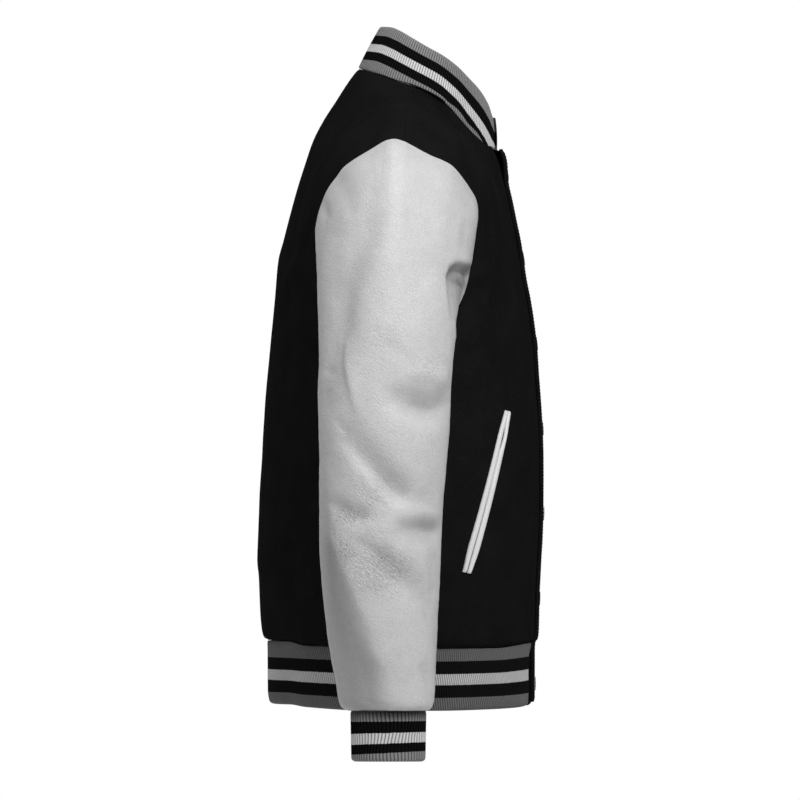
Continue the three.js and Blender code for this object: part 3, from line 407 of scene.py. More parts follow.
class Signal:
    def __init__(self, tree, socket):
        self.tree, self.socket = tree, socket

    def part(self, output):  # another output of the same node
        return Signal(self.tree, self.socket.node.outputs[output])

    def calc(self, operation, *others):
        return place(self.tree, "Math", dict(enumerate((self, *others))), operation=operation)

    def __add__(self, other):
        return self.calc("ADD", other)

    def __sub__(self, other):
        return self.calc("SUBTRACT", other)

    def __rsub__(self, other):
        return self * -1 + other

    def __mul__(self, other):
        return self.calc("MULTIPLY", other)

    def __truediv__(self, other):
        return self.calc("DIVIDE", other)

    def __pow__(self, other):
        return self.calc("POWER", other)

    def __abs__(self):
        return self.calc("ABSOLUTE")

    def held(self):  # between 0 and 1
        return place(self.tree, "Clamp", {0: self})

    def mapped(self, fromMin=0, fromMax=1, toMin=0, toMax=1):
        bounds = {"From Min": fromMin, "From Max": fromMax, "To Min": toMin, "To Max": toMax}
        return place(self.tree, "MapRange", {"Value": self, **bounds})

    def mixed(self, low, high):  # from one colour to the other
        return place(self.tree, "Mix", {0: self, 6: low, 7: high}, data_type="RGBA").part(2)

    def dimmed(self, by):
        return place(self.tree, "Mix", {0: 1, 6: self, 7: by}, data_type="RGBA", blend_type="MULTIPLY").part(2)

    def raised(self, strength, distance, below=None):  # as bump, over another bump where there is one
        inputs = {"Height": self, "Strength": strength, "Distance": distance}
        return place(self.tree, "Bump", {**inputs, **({"Normal": below} if below else {})})

    def noise(self, scale, detail, roughness=0.5, distortion=0):  # at this place
        inputs = {"Scale": scale, "Detail": detail, "Roughness": roughness, "Distortion": distortion}
        return place(self.tree, "TexNoise", {"Vector": self, **inputs})

    def turned(self, rotation=(0, 0, 0), scale=(1, 1, 1)):
        return place(self.tree, "Mapping", {"Vector": self, "Rotation": rotation, "Scale": scale})

    def scaled(self, by):
        return place(self.tree, "VectorMath", {0: self, "Scale": by}, operation="SCALE")


def newGroup(name, inputs, outputs, build):
    tree = bpy.data.node_groups.new(name, "ShaderNodeTree")
    for label, kind, value in inputs:
        socket = tree.interface.new_socket(label, in_out="INPUT", socket_type="NodeSocket" + kind)
        socket.default_value = value
    for label in outputs:
        tree.interface.new_socket(label, in_out="OUTPUT", socket_type="NodeSocketFloat")
    given, out = tree.nodes.new("NodeGroupInput"), tree.nodes.new("NodeGroupOutput")
    for label, value in zip(outputs, build(Signal(tree, given.outputs[0]))):
        feed(value, out.inputs[label])
    return tree


def grey(level):
    return (level, level, level * 1.01, 1)


def fuzz(given):  # short fibres lying over a cloth: uneven shade and a fuzzy height
    where = given.part("Coordinates").scaled(given.part("Size"))
    fibres = where.turned((0.2, 0.1, 0.3), (1, 1, 0.45)).noise(1900, 4, 0.65, 0.6)
    height = fibres * 0.45 + where.noise(420, 3, 0.6) * 0.55
    shade = (height - 0.5) * 1.6 + (where.noise(26, 3, 0.55) - 0.5) * 0.7 + 0.5
    return shade.held(), height


def hide(given):  # cells of the grain, finer pores, and long soft wrinkles that the hide keeps
    where = given.part("Coordinates").scaled(given.part("Size"))
    offset = where.noise(260, 2).part("Color").scaled(0.0016)
    moved = place(given.tree, "VectorMath", {0: where, 1: offset}, operation="ADD")
    cells = place(given.tree, "TexVoronoi", {"Vector": moved, "Scale": 430}, feature="DISTANCE_TO_EDGE")
    pebbles = (cells.part("Distance") * 2.6).held() ** 0.6
    ridges = abs(where.turned((-0.7, 0, 0)).turned(scale=(1, 0.3, 1)).noise(400, 3, 0.55, 0.4) - 0.5)
    shade = where.noise(22, 4, 0.6) + (where.noise(620, 3, 0.7) - 0.5) * 2.2
    return shade.held(), pebbles * 0.8 + where.noise(2400, 3, 0.6) * 0.3, (ridges * 5).held()


def ribbed(given):  # the UV map counts ribs across, and metres down from the piece's top edge
    rib = place(given.tree, "SeparateXYZ", {0: given.part("Ribs")})
    fromMiddle = abs(rib.calc("FRACT") - 0.5)
    leaning = rib.part(1) / given.part("Course") + fromMiddle * 1.6
    loops = (leaning * (2 * math.pi)).calc("SINE")
    split = (1 - (fromMiddle * 9).held()) * 0.5
    # the first output darkens the colour between the ribs as painted shade
    return (fromMiddle * 2).held() ** 2.2, loops * 0.35 - split, loops * 0.5 + 0.5


overObject = [("Size", "Float", 1.0), ("Coordinates", "Vector", (0, 0, 0))]
overRibs = [("Ribs", "Vector", (0, 0, 0)), ("Course", "Float", 0.0014)]
fuzzGroup = newGroup("fibreFuzz", overObject, ("Shade", "Height"), fuzz)
hideGroup = newGroup("hideGrain", overObject, ("Shade", "Height", "Wrinkles"), hide)
ribGroup = newGroup("ribKnit", overRibs, ("Valley", "Height", "Yarn"), ribbed)

wool = {"dark": 0.0038, "light": 0.0125, "roughness": 0.95, "bump": 0.00035}
flesh = {"dark": 0.26, "light": 0.42, "roughness": 0.95, "bump": 0.0003}
# wrinkle is the dark grey that the painted shade on the sleeves mixes the leather toward
leather = {"dark": 0.54, "light": 0.7, "wrinkle": 0.16, "roughness": 0.44, "grain": 0.00045, "wrinkles": 0.0006}
weltLeather = {"dark": 0.7, "light": 0.82, "roughness": 0.42, "grain": 0.00012}
# valley dims the colour between the ribs as painted shade
yarns = {"roughness": 0.9, "bump": 0.00045, "valley": 0.14, "faded": 0.72}
# The same yarns at a different level on each piece: darker on the hem as painted shade, lighter on the cuffs and
# collar as painted light
hemYarnsInPaintedShade = {"grey": 0.205, "white": 0.72, "black": 0.011}
cuffYarnsInPaintedLight = {"grey": 0.34, "white": 0.86, "black": 0.0075}
collarYarnsInPaintedLight = {"grey": 0.34, "white": 0.9, "black": 0.0085}


def objectPlace(tree):
    return place(tree, "TexCoord").part("Object")


def groupOver(tree, group, size=1.0):
    return place(tree, "Group", {"Coordinates": objectPlace(tree), "Size": size}, node_tree=group)


def woolPaint(tree):
    nap = groupOver(tree, fuzzGroup)
    return {
        "Base Color": nap.mixed(grey(wool["dark"]), grey(wool["light"])),
        "Roughness": nap.mapped(toMin=wool["roughness"] - 0.06, toMax=wool["roughness"] + 0.05),
        "Normal": nap.part("Height").raised(0.8, wool["bump"]),
        "Specular IOR Level": 0.01,
    }


def fleshPaint(tree):  # the inner side of the sleeves' hide
    nap = groupOver(tree, fuzzGroup, 0.8)
    return {
        "Base Color": nap.mixed(grey(flesh["dark"]), grey(flesh["light"])),
        "Roughness": flesh["roughness"],
        "Normal": nap.part("Height").raised(0.6, flesh["bump"]),
    }


def hidePaint(tree, look):
    grain = groupOver(tree, hideGroup)
    height = grain.part("Height")
    colour = grain.mixed(grey(look["dark"]), grey(look["light"]))
    colour = ((1 - height).held() * 0.16).mixed(colour, grey(look["dark"] * 0.6))
    creases = None
    if "wrinkle" in look:
        hollow = place(tree, "Attribute", attribute_name="hollow").part("Fac")
        crinkle = place(tree, "Attribute", attribute_name="crinkle").part("Fac")
        # painted shade: the leather's colour goes toward a dark grey where the sleeve's shade attribute is high
        colour = (hollow * 0.75).mixed(colour, grey(look["wrinkle"]))
        creases = (grain.part("Wrinkles") * (crinkle * 3 + 0.35)).raised(0.9, look["wrinkles"])
    return {
        "Base Color": colour,
        "Roughness": height.mapped(toMin=look["roughness"] + 0.12, toMax=look["roughness"] - 0.03),
        "Normal": height.raised(0.75, look["grain"], creases),
        "Specular IOR Level": 0.42,
    }


# Stripes: (ends at, in metres from the top edge, yarn); a shadow under the piece above is darkest round one rib
def ribPaint(tree, stripes, levels, wobble=0.0004, shadow=1, darkestRib=0):
    uv = place(tree, "UVMap", uv_map="UVMap")
    rib = place(tree, "SeparateXYZ", {0: uv})
    down = rib.part(1)
    knitted = place(tree, "Group", {"Ribs": uv}, node_tree=ribGroup)
    nap = groupOver(tree, fuzzGroup, 1.3)
    level = down + (uv.noise(0.35, 2) - 0.5) * (2 * wobble) + knitted.part("Yarn") * 0.00025
    colour = grey(levels[stripes[0][1]])
    for (edge, _), (_, yarn) in zip(stripes[:-1], stripes[1:]):
        colour = level.mapped(edge - 0.0002, edge + 0.0002).mixed(colour, grey(levels[yarn]))
    if shadow < 1:
        least = abs(rib - darkestRib).mapped(fromMax=14, toMin=shadow, toMax=4 * shadow)
        colour = colour.dimmed(down.mapped(fromMax=0.012, toMin=least))
    # painted shade in the valleys between the ribs
    colour = knitted.mixed(colour, colour.dimmed(grey(yarns["valley"])))
    return {
        "Base Color": nap.mixed(colour.dimmed(grey(yarns["faded"])), colour),
        "Roughness": yarns["roughness"],
        "Normal": (knitted.part("Height") + nap.part("Height") * 0.8).raised(0.8, yarns["bump"]),
        "Specular IOR Level": 0.02,
    }


def threadPaint(tree, level):
    inputs = {"Vector": objectPlace(tree), "Scale": 900, "Distortion": 1.5, "Detail": 1}
    twist = place(tree, "TexWave", inputs, bands_direction="DIAGONAL").part(1)
    colour = twist.mixed(grey(level * 0.6), grey(level))
    return {"Base Color": colour, "Roughness": 0.55, "Normal": twist.raised(0.5, 0.0001)}


def snapPaint(tree):
    where = objectPlace(tree)
    speckle, scuffs = where.noise(1500, 4, 0.6), where.noise(240, 5, 0.7, 1.2)
    return {
        "Base Color": scuffs.mapped(0.58, 0.72).mixed(grey(0.007), grey(0.03)),
        "Roughness": speckle.mapped(toMin=0.38, toMax=0.55),
        "Normal": speckle.raised(0.3, 0.0001),
        "Metallic": 0.2,
        "Specular IOR Level": 0.3,
    }


def painted(name, paint, *facts):
    material = bpy.data.materials.new(name)
    material.use_nodes = True
    tree = material.node_tree
    for socket, value in paint(tree, *facts).items():
        feed(value, tree.nodes["Principled BSDF"].inputs[socket])
    return material


hemStripes = [(0.0133, "grey"), (0.0268, "black"), (0.0382, "white"), (0.0515, "black"), (0.08, "grey")]
cuffStripes = [(0.0108, "grey"), (0.0232, "black"), (0.0344, "white"), (0.0447, "black"), (0.08, "grey")]
collarStripes = [(0.012, "grey"), (0.0225, "black"), (0.0315, "white"), (0.0415, "black"), (0.09, "grey")]
finishes = {
    "wool": painted("meltonWool", woolPaint),
    "leather": painted("sleeveLeather", hidePaint, leather),
    "fleshSide": painted("hideFleshSide", fleshPaint),
    "welt": painted("weltLeather", hidePaint, weltLeather),
    "hem": painted("hemKnit", ribPaint, hemStripes, hemYarnsInPaintedShade),
    "cuff": painted("cuffKnit", ribPaint, cuffStripes, cuffYarnsInPaintedLight, 0.0006, 0.08, 32),
    "collar": painted("collarKnit", ribPaint, collarStripes, collarYarnsInPaintedLight, 0.0002),
    "blackThread": painted("blackThread", threadPaint, 0.02),
    "snap": painted("enamelledSnap", snapPaint),
}
print("finishes made")


# Meshes from grids of points

def gridIndex(rowCount, columnCount, ring):
    index = np.arange(rowCount * columnCount).reshape(rowCount, columnCount)
    return np.concatenate([index, index[:, :1]], axis=1) if ring else index


def gridFaces(rowCount, columnCount, ring=False):
    index = gridIndex(rowCount, columnCount, ring)
    return stacked(index[:-1, :-1], index[:-1, 1:], index[1:, 1:], index[1:, :-1]).reshape(-1, 4)


def linked(name, data):
    made = bpy.data.objects.new(name, data)
    bpy.context.collection.objects.link(made)
    return made


def meshObject(name, points, faces, materials, uv=None):
    mesh = bpy.data.meshes.new(name)
    mesh.from_pydata((points * mm).tolist(), [], faces)
    if uv is not None:  # one pair for each face corner
        mesh.uv_layers.new(name="UVMap").data.foreach_set("uv", uv.astype(np.float32).ravel())
    mesh.polygons.foreach_set("use_smooth", np.ones(len(faces), bool))
    for material in materials:
        mesh.materials.append(finishes[material])
    mesh.update()
    return linked(name, mesh)


def gridUv(across, up, faces, ring):  # up and across in metres; the last cell of a ring runs on past the seam
    flat = stacked(across.ravel(), up.ravel())[faces]
    if ring:
        columns = across.shape[1]
        wraps = (faces[:, 0] % columns) == columns - 1
        step = across[0, -1] / (columns - 1)
        flat[wraps, 1:3, 0] += across[0, -1] + step
    return flat.reshape(-1, 2)


def chosen(made):
    bpy.ops.object.select_all(action="DESELECT")
    made.select_set(True)
    bpy.context.view_layer.objects.active = made


def applied(made, kind, **settings):
    chosen(made)
    modifier = made.modifiers.new(kind.title(), kind)
    for name, value in settings.items():
        setattr(modifier, name, value)
    bpy.ops.object.modifier_apply(modifier=modifier.name)
    return made


def facingOut(made):
    chosen(made)
    bpy.ops.object.mode_set(mode="EDIT")
    bpy.ops.mesh.select_all(action="SELECT")
    bpy.ops.mesh.normals_make_consistent(inside=False)
    bpy.ops.object.mode_set(mode="OBJECT")
    return made


def drawnBack(rows, reach, ring=False):  # leaves the gap at each seam
    moved = rows.copy()
    for edge, inner in ((0, 1), (-1, -2)):
        moved[edge] += reach * unit(rows[inner] - rows[edge])
        if not ring:
            moved[:, edge] += reach * unit(rows[:, inner] - rows[:, edge])
    return moved


def clothObject(name, rows, thickness, material, inside=None, ring=False, wear=None):
    rows = drawnBack(rows, body["gap"], ring)
    faces = gridFaces(*rows.shape[:2], ring)
    uv = gridUv(acrossOf(rows) * mm, upOf(rows) * mm, faces, ring)
    materials = [material, inside] if inside else [material]
    made = meshObject(name, rows.reshape(-1, 3), faces.tolist(), materials, uv)
    for label, values in (wear or {}).items():
        attribute = made.data.attributes.new(label, "FLOAT", "POINT")
        attribute.data.foreach_set("value", values.astype(np.float32).ravel())
    layers = {"thickness": thickness * mm, "offset": -1, "material_offset": 1 if inside else 0}
    return applied(made, "SOLIDIFY", use_even_offset=True, **layers)


frontLeft = clothObject("frontLeftWool", frontLeftRows, body["thickness"], "wool")
frontRight = clothObject("frontRightWool", frontRightRows, body["thickness"], "wool")
back = clothObject("backWool", backRows, body["thickness"], "wool")
print("body panels made")


# Sleeves

sleeve = {
    "columns": 196, "capRows": 78, "landing": -330, "end": -671.5, "cell": 3, "thickness": 1.5,
    "seamEndTurn": 0.96, "apexShare": 0.962, "capOut": 1, "capDown": 0.34, "capTowardMiddle": 0.02,
    "armpitOut": 0.55, "armpitDown": 0.9, "armpitFrom": -170, "armpitReach": 110, "fullness": 1.02,
    "freeFrom": 12, "edgeRoll": 0.7, "edgeRollWidth": 1.8,
    "swells": [(1.3, 70, (1, 1, 0.7)), (0.5, 26, (1, 1, 0.8))], "armholePuckers": (0.5, 6, 8, 12),
    "cuffGathers": (1.1, 9, 9, 13, (1, 1, 0.3)), "wrinkles": (0.28, 16, (1, 1.2, 1.5)), "outerReach": 30,
    "capReach": 60, "flatSoft": 0.6, "capBorder": (0, 0.004, 0.009, 0.016), "capEvenFrom": 0.025,
}
sleeveSections = [  # height, middle x, half width, back edge and front edge as seen from the side
    (-671.5, 290, 30, 52.5, -27.5), (-670, 290, 37, 58.5, -32.5), (-666.5, 290, 43, 63, -36),
    (-659, 290, 46.5, 65.8, -37.8), (-640, 290.5, 49, 68.6, -38.4), (-618, 291, 52, 73.4, -39),
    (-575, 292, 55, 80, -41), (-531, 292, 57.5, 85, -43), (-488, 291, 59, 86.4, -44),
    (-445, 290, 60, 86.4, -46.4), (-402, 288, 60, 86.6, -50.8), (-359, 286, 60, 87.5, -54),
    (-316, 283.5, 59.5, 88, -55),
]
# Folds of the sleeve's outer side: path of (y, height), widths behind and before it, depth
sleeveFolds = [
    ([(-72, -199, 0.5), (-62, -197, 1), (-58, -204, 1), (-59, -222, 0.6), (-60, -248, 0.25)], (5, 17), -14),
    (
        [(28, -62, 0.1), (27, -95, 0.1), (24, -123, 0.2), (34, -151, 0.45), (48, -184, 0.6)]
        + [(60, -220, 0.9), (66, -257, 1), (74, -300, 0.8), (80, -335, 0.5)],
        (16, 17),
        -6,
    ),
    ([(2, -339, 0.6), (-14, -345, 1), (-32, -350, 1), (-50, -344, 0.8)], (13, 16), -8),
    ([(-26, -306), (-44, -312)], (12, 10), 3),
    ([(56, -380, 0.3), (34, -408, 0.7), (16, -428, 1), (0, -440, 0.9), (-14, -446, 0.3)], (9, 19), -8.5),
    ([(66, -455), (44, -464)], (8, 12), -3.4),
    ([(-6, -478, 0.6), (-24, -478, 1), (-48, -482, 1)], (14, 12), -8.5),
    ([(36, -504, 0.5), (22, -514, 1), (0, -532, 1), (-17, -550, 0.5)], (9, 18), -5.5),
    ([(66, -490, 0.5), (56, -518, 1), (40, -560, 0.8), (22, -600, 0.3), (8, -640, 0)], (10, 18), 4.5),
    ([(-37, -508), (-38, -542)], (8, 8), -2.4),
]
sleeveCreases = [
    ([(20, -60), (20, -106)], (3, 3), -0.9),
    ([(12, -62), (14, -98)], (3, 3), -0.7),
    ([(-72, -142), (-69, -184)], (6, 9), -2.4),
    ([(60, -270), (59.6, -299), (52.6, -327), (46.7, -352)], (3, 9), 2.2),
    ([(86, -303), (70, -309)], (3, 3), -1.4),
    ([(30, -262), (4, -284), (-22, -312)], (4, 6), -0.6),
    ([(14, -258), (-8, -280), (-30, -300)], (4, 6), 0.6),
    ([(43, -412), (28, -434), (8, -452)], (4, 4), 1.3),
    ([(50, -488), (28, -500), (6, -516)], (3, 5), -1.2),
    ([(44, -504), (20, -514), (-6, -534)], (3, 5), 1),
    ([(-23, -620), (-38, -648)], (5, 9), -3.4),
    ([(84, -120), (79, -143)], (4, 5), -2.2),
    ([(70, -84), (62, -108), (52, -140)], (8, 10), -2),
    ([(46, -60), (41, -80)], (5, 6), -1),
]
flattened = [  # height, y where the flat lower back of the sleeve begins, how flat it is
    (-671.5, 4, 0.45), (-629, 8, 0.5), (-607, 22, 0.55), (-585, 34, 0.55), (-553, 48, 0.55),
    (-520, 60, 0.55), (-499, 66, 0.5), (-471, 72, 0.45), (-420, 76, 0.3), (-380, 78, 0),
]
crinkled = [  # middle (y, height), reach across and up, strength
    ((22, -518), (30, 24), 1), ((54, -461), (20, 9), 0.9), ((58, -500), (16, 16), 0.8),
    ((28, -434), (22, 16), 0.5), ((16, -272), (20, 14), 0.25), ((-30, -300), (16, 12), 0.3),
]
# Painted shade: the pit in front of the armpit is darkened under its upper lip and behind its front lip, and clears
# downward
pit = {"lipY": -50.5, "lipZ": -188, "topSoft": 7, "lipSoft": 3, "reach": 34, "strength": 0.75}
shade = {  # painted shade: walls turned from the light, fold valleys and the lower back are darkened
    "lightY": -0.53, "lightZ": 0.85, "step": 4, "walls": 1, "valleys": 0.02, "back": 0.72,
    "backSoft": 0.8, "backStarts": -395, "backFull": -520,
}
middleXAt, halfXAt, sleeveBackAt, sleeveFrontAt = curvesOf(sleeveSections)
flatFromAt, flatnessAt = curvesOf(flattened)
ringTurns = np.arange(sleeve["columns"]) * 2 * math.pi / sleeve["columns"]


def sideSpan(z):  # the middle and the half depth, as seen from the side
    return (sleeveBackAt(z) + sleeveFrontAt(z)) / 2, (sleeveBackAt(z) - sleeveFrontAt(z)) / 2


def tubeRing(level):
    middleY, halfY = sideSpan(level)
    x = middleXAt(level) - halfXAt(level) * np.cos(ringTurns)
    return stacked(x, middleY - halfY * np.sin(ringTurns), level)


def armholeRing():
    seamTurn = math.pi * sleeve["seamEndTurn"]
    frontLength, frontPoint = armhole["front"]
    backLength, backPoint = armhole["back"]
    frontShare = np.clip(ringTurns / seamTurn, 0, 1)
    pastSeam = 1 - (1 - sleeve["apexShare"]) * (ringTurns - seamTurn) / (math.pi - seamTurn)
    pastApex = sleeve["apexShare"] * (2 - ringTurns / math.pi)
    backShare = np.where(ringTurns < math.pi, pastSeam, pastApex)
    onFront = (ringTurns <= seamTurn)[:, None]
    onBack = backPoint(backLength * np.clip(backShare, 0, 1))
    return np.where(onFront, frontPoint(frontLength * frontShare), onBack)


def sleeveRows():  # rings from the armhole down to the cuff seam
    start = armholeRing()
    landing, below = tubeRing(sleeve["landing"]), tubeRing(sleeve["landing"] - body["slopeStep"])
    reach = np.linalg.norm(landing - start, axis=1)[:, None] * sleeve["fullness"]
    low = smooth((sleeve["armpitFrom"] - start[:, 2]) / sleeve["armpitReach"])
    out = sleeve["capOut"] + (sleeve["armpitOut"] - sleeve["capOut"]) * low
    aside = sleeve["capTowardMiddle"] * (landing[:, 1].mean() - start[:, 1]) / 100
    down = sleeve["capDown"] + (sleeve["armpitDown"] - sleeve["capDown"]) * low
    departure = unit(stacked(out, aside, -down)) * reach
    arrival = (below - landing) * reach / body["slopeStep"]
    share = np.r_[sleeve["capBorder"], np.linspace(sleeve["capEvenFrom"], 1, sleeve["capRows"])][:-1]
    cap = hermite(start, departure, landing, arrival, share[:, None, None])
    tubeShares = edgedShares(sleeve["landing"] - sleeve["end"], sleeve["cell"])
    levels = sleeve["landing"] - np.r_[0, tubeShares[nearBorder:]] * (sleeve["landing"] - sleeve["end"])
    return np.concatenate([cap, np.array([tubeRing(level) for level in levels])])


def flatBack(y, z):  # how far the round sleeve lies outside the flat from its ridge to its back edge
    middle, half = sideSpan(z)
    ridge = flatFromAt(z)
    share = np.clip((y - ridge) / (sleeveBackAt(z) - ridge), 0, 1)
    bulge, bulgeAtRidge = [np.sqrt(np.clip(1 - ((spot - middle) / half) ** 2, 0, 1)) for spot in (y, ridge)]
    inset = halfXAt(z) * (bulge - bulgeAtRidge * (1 - share)) * bulge
    return flatnessAt(z) * np.maximum(inset, 0) * smooth(share / sleeve["flatSoft"])


# Painted shade for the sleeve's leather: darker in the pit, on fold walls turned from the light, in fold valleys
# and on the lower back
def paintedShadeOf(y, z, heights):
    below, inward = np.maximum(pit["lipZ"] - z, 0), np.maximum(pit["lipY"] - y, 0)
    inPit = smooth(below / pit["topSoft"]) * smooth(inward / pit["lipSoft"])
    dark = pit["strength"] * inPit * bell(below, pit["reach"])
    stepY, stepZ = shade["step"] * shade["lightY"], shade["step"] * shade["lightZ"]
    rise = foldField(sleeveFolds, y + stepY, z + stepZ) - foldField(sleeveFolds, y - stepY, z - stepZ)
    dark += shade["walls"] * np.maximum(rise / (2 * shade["step"]), 0) - shade["valleys"] * heights
    low = smooth((shade["backStarts"] - z) / (shade["backStarts"] - shade["backFull"]))
    share = (y - flatFromAt(z)) / (sleeveBackAt(z) - flatFromAt(z))
    return dark + shade["back"] * low * smooth(share / shade["backSoft"])


def shapedSleeve(seed, foldShare):
    rows = sleeveRows()[::-1]  # upward, as the normals need
    y, z = rows[..., 1], rows[..., 2]
    outward = rows[..., 0] - middleXAt(np.minimum(z, sleeve["landing"]))
    faces = np.maximum(smooth(outward / sleeve["outerReach"]), smooth((z - sleeve["landing"]) / sleeve["capReach"]))
    fromCuff, fromArmhole = upOf(rows), downOf(rows)
    fromSeams = np.minimum(fromCuff, fromArmhole)
    folds, small = foldField(sleeveFolds, y, z), foldShare * faces * foldField(sleeveCreases, y, z, True)
    height, size, stretch = sleeve["wrinkles"]
    wrinkles = height * (0.5 - np.abs(noiseField(rows, size, seed + 2, stretch)) * 2)
    large = foldShare * faces * (folds - flatBack(y, z))
    broad = swelling(rows, seed, sleeve["swells"])
    depth = smooth(fromSeams / sleeve["freeFrom"]) * (large + small + broad + wrinkles)
    depth += puckered(rows, fromArmhole, seed + 3, *sleeve["armholePuckers"])
    depth += puckered(rows, fromCuff, seed + 4, *sleeve["cuffGathers"])
    depth -= sleeve["edgeRoll"] * bell(fromSeams, sleeve["edgeRollWidth"])
    # painted shade, kept as a point attribute that darkens the leather's colour
    hollow = np.clip(faces * paintedShadeOf(y, z, folds + small) - wrinkles / 8, 0, 1)
    crinkle = sum(
        strength * bell(y - middleY, reachY) * bell(z - middleZ, reachZ)
        for (middleY, middleZ), (reachY, reachZ), strength in crinkled
    )
    wear = {"hollow": hollow, "crinkle": faces * np.minimum(crinkle, 1)}
    return rows + normalsOf(rows, True) * depth[..., None], wear


leftRows, leftShadeAndCrinkle = shapedSleeve(21, 0.8)
rightRows, rightShadeAndCrinkle = shapedSleeve(33, 1)
rightRows, rightShadeAndCrinkle = mirrored(rightRows), {name: values[:, ::-1] for name, values in rightShadeAndCrinkle.items()}
hideSides = (sleeve["thickness"], "leather", "fleshSide", True)
sleeveLeft = clothObject("sleeveLeftLeather", leftRows, *hideSides, leftShadeAndCrinkle)
sleeveRight = clothObject("sleeveRightLeather", rightRows, *hideSides, rightShadeAndCrinkle)
print("sleeves made")


# Rib knit pieces: columns follow the ribs, which stand proud of a plain inner side

knit = {
    "thickness": 3.4, "relief": 0.9, "edgeRelief": 0.35, "edgeShare": 0.05, "gap": 0.38, "rows": 15,
    "turnIn": 1.2, "turnInWidth": 1.3, "rollReach": 1.3, "borderUps": (0, 0.008, 0.02, 0.036, 0.055),
    "topUps": (0.97, 0.988, 1),
}


def ribObject(name, surface, ribCount, perRib, height, material, levelOf, ring=False, topFold=False, rolled=0):
    count = ribCount * perRib
    shares = np.arange(count if ring else count + 1) / count
    ups = np.r_[knit["borderUps"], np.linspace(0.08, 0.94, knit["rows"]), knit["topUps"]]
    rows = drawnBack(np.array([surface(shares, up) for up in ups]), knit["gap"], ring)
    normals = normalsOf(rows, ring)
    phase = shares * ribCount
    profile = np.abs(np.sin(np.pi * phase)) ** 0.7
    fromEdge = smooth(np.minimum(ups, 1 - ups) / knit["edgeShare"])
    proud = knit["edgeRelief"] + (1 - knit["edgeRelief"]) * fromEdge
    turnIn = np.zeros(len(ups))
    if topFold:
        turnIn += knit["turnIn"] * bell((1 - ups) * height, knit["turnInWidth"])
    if rolled:
        turnIn += knit["turnIn"] * bell(ups * height, knit["turnInWidth"])
        roll = 1 - np.sqrt(1 - np.clip(1 - ups * height / (knit["rollReach"] * rolled), 0, 1) ** 2)
        rows = rows - normals * rolled * roll[:, None, None]
    outer = rows + normals * (knit["relief"] * proud[:, None] * profile - turnIn[:, None])[..., None]
    inner = rows - normals * (knit["thickness"] - turnIn[:, None, None])
    index, total = gridIndex(*rows.shape[:2], ring), rows[..., 0].size
    edges = [index[0, ::-1], index[-1]] + ([] if ring else [index[:, 0], index[::-1, -1]])
    walls = [stacked(edge[:-1], edge[1:], edge[1:] + total, edge[:-1] + total) for edge in edges]
    outside = gridFaces(*rows.shape[:2], ring)
    faces = np.concatenate([outside, outside[:, ::-1] + total, *walls])
    pairs = np.tile(stacked(phase, levelOf(rows) * mm).reshape(-1, 2), (2, 1))[faces]
    if ring:
        wraps = (pairs[..., 0].max(axis=1) - pairs[..., 0].min(axis=1)) > ribCount / 2
        pairs[wraps, :, 0] += np.where(pairs[wraps, :, 0] < ribCount / 2, ribCount, 0)
    points = np.concatenate([outer.reshape(-1, 3), inner.reshape(-1, 3)])
    return meshObject(name, points, faces.tolist(), [material], pairs.reshape(-1, 2))


hem = {"ribs": 420, "lean": -0.013, "straightEnd": 0.05, "endsIn": 4, "endsReach": 26}
cuff = {
    "ribs": 62, "middleX": 290, "middleY": 12.5, "topHalf": (30, 40), "bottomHalf": (28.5, 39),
    "top": -671.5, "bottom": -726, "stripesRise": 0.045,
}
stripeWaves = [  # y, how far the hem's uppermost stripe stands off level
    (-156, 3.4), (-143, 3.2), (-128, 1.6), (-105, -0.6), (-40, -1.5), (30, -1), (104, 1), (156, 2),
]
stripeSpread = [  # y, how much nearer together the collar's stripes lie than on its back
    (-101, 0.75), (-97, 0.66), (-86, 0.69), (-75.6, 0.76), (-65, 0.85), (-54, 0.91), (-43, 0.97), (-20, 1),
    (30, 1),
]
stripeWave = curvesOf(stripeWaves)[0]
spreadAt = curvesOf(stripeSpread)[0]
collar = {"ribs": 168, "frontGap": 0.3, "bulge": 0.8, "whiteEnds": 31.2, "lowerSpread": 0.35, "frontSpread": 1}
collarTopPlan = {"halfWidth": 66, "middleY": -40, "halfDepth": 60}
collarTop = [  # y, height
    (-100, -31), (-95, -15), (-86, 0), (-75, 12), (-62, 25), (-47, 36), (-29, 46), (-12, 56), (0, 63),
    (10, 67), (20, 68),
]


def hemSurface(shares, up):
    level = body["hemBottom"] + (body["hemSeam"] - body["hemBottom"]) * up
    fromEnd = smooth(np.minimum(shares, 1 - shares) / hem["straightEnd"])
    uneven = 0.75 + 0.45 * np.sin(31 * shares) + 0.15 * np.sin(5 * up + 60 * shares)
    shares = shares + hem["lean"] * fromEnd * (up - 0.5) * uneven
    half = np.linspace(0, 1, samples["seam"])
    front, rear = bodyRow(level, "front", half), bodyRow(level, "back", half)
    loop = [lapped(front), rear[::-1][1:], (rear * [-1, 1, 1])[1:], (front * [-1, 1, 1])[::-1][1:]]
    length, at = lineOf(np.concatenate(loop))
    row = at(shares * length)
    toBand = bell(np.abs(row[:, 0]) - band["half"], hem["endsReach"]) * (row[:, 1] < 0)
    row[:, 1] += hem["endsIn"] * toBand * smooth((1 - up) * 3)
    return row


def hemLevel(rows):  # millimetres below the seam, along the stripes
    y, z = rows[..., 1], rows[..., 2]
    wave = stripeWave(y)
    return body["hemSeam"] + wave + (bottomWave(y) - wave) * np.clip(shareBelowSeam(z), 0, 1) - z


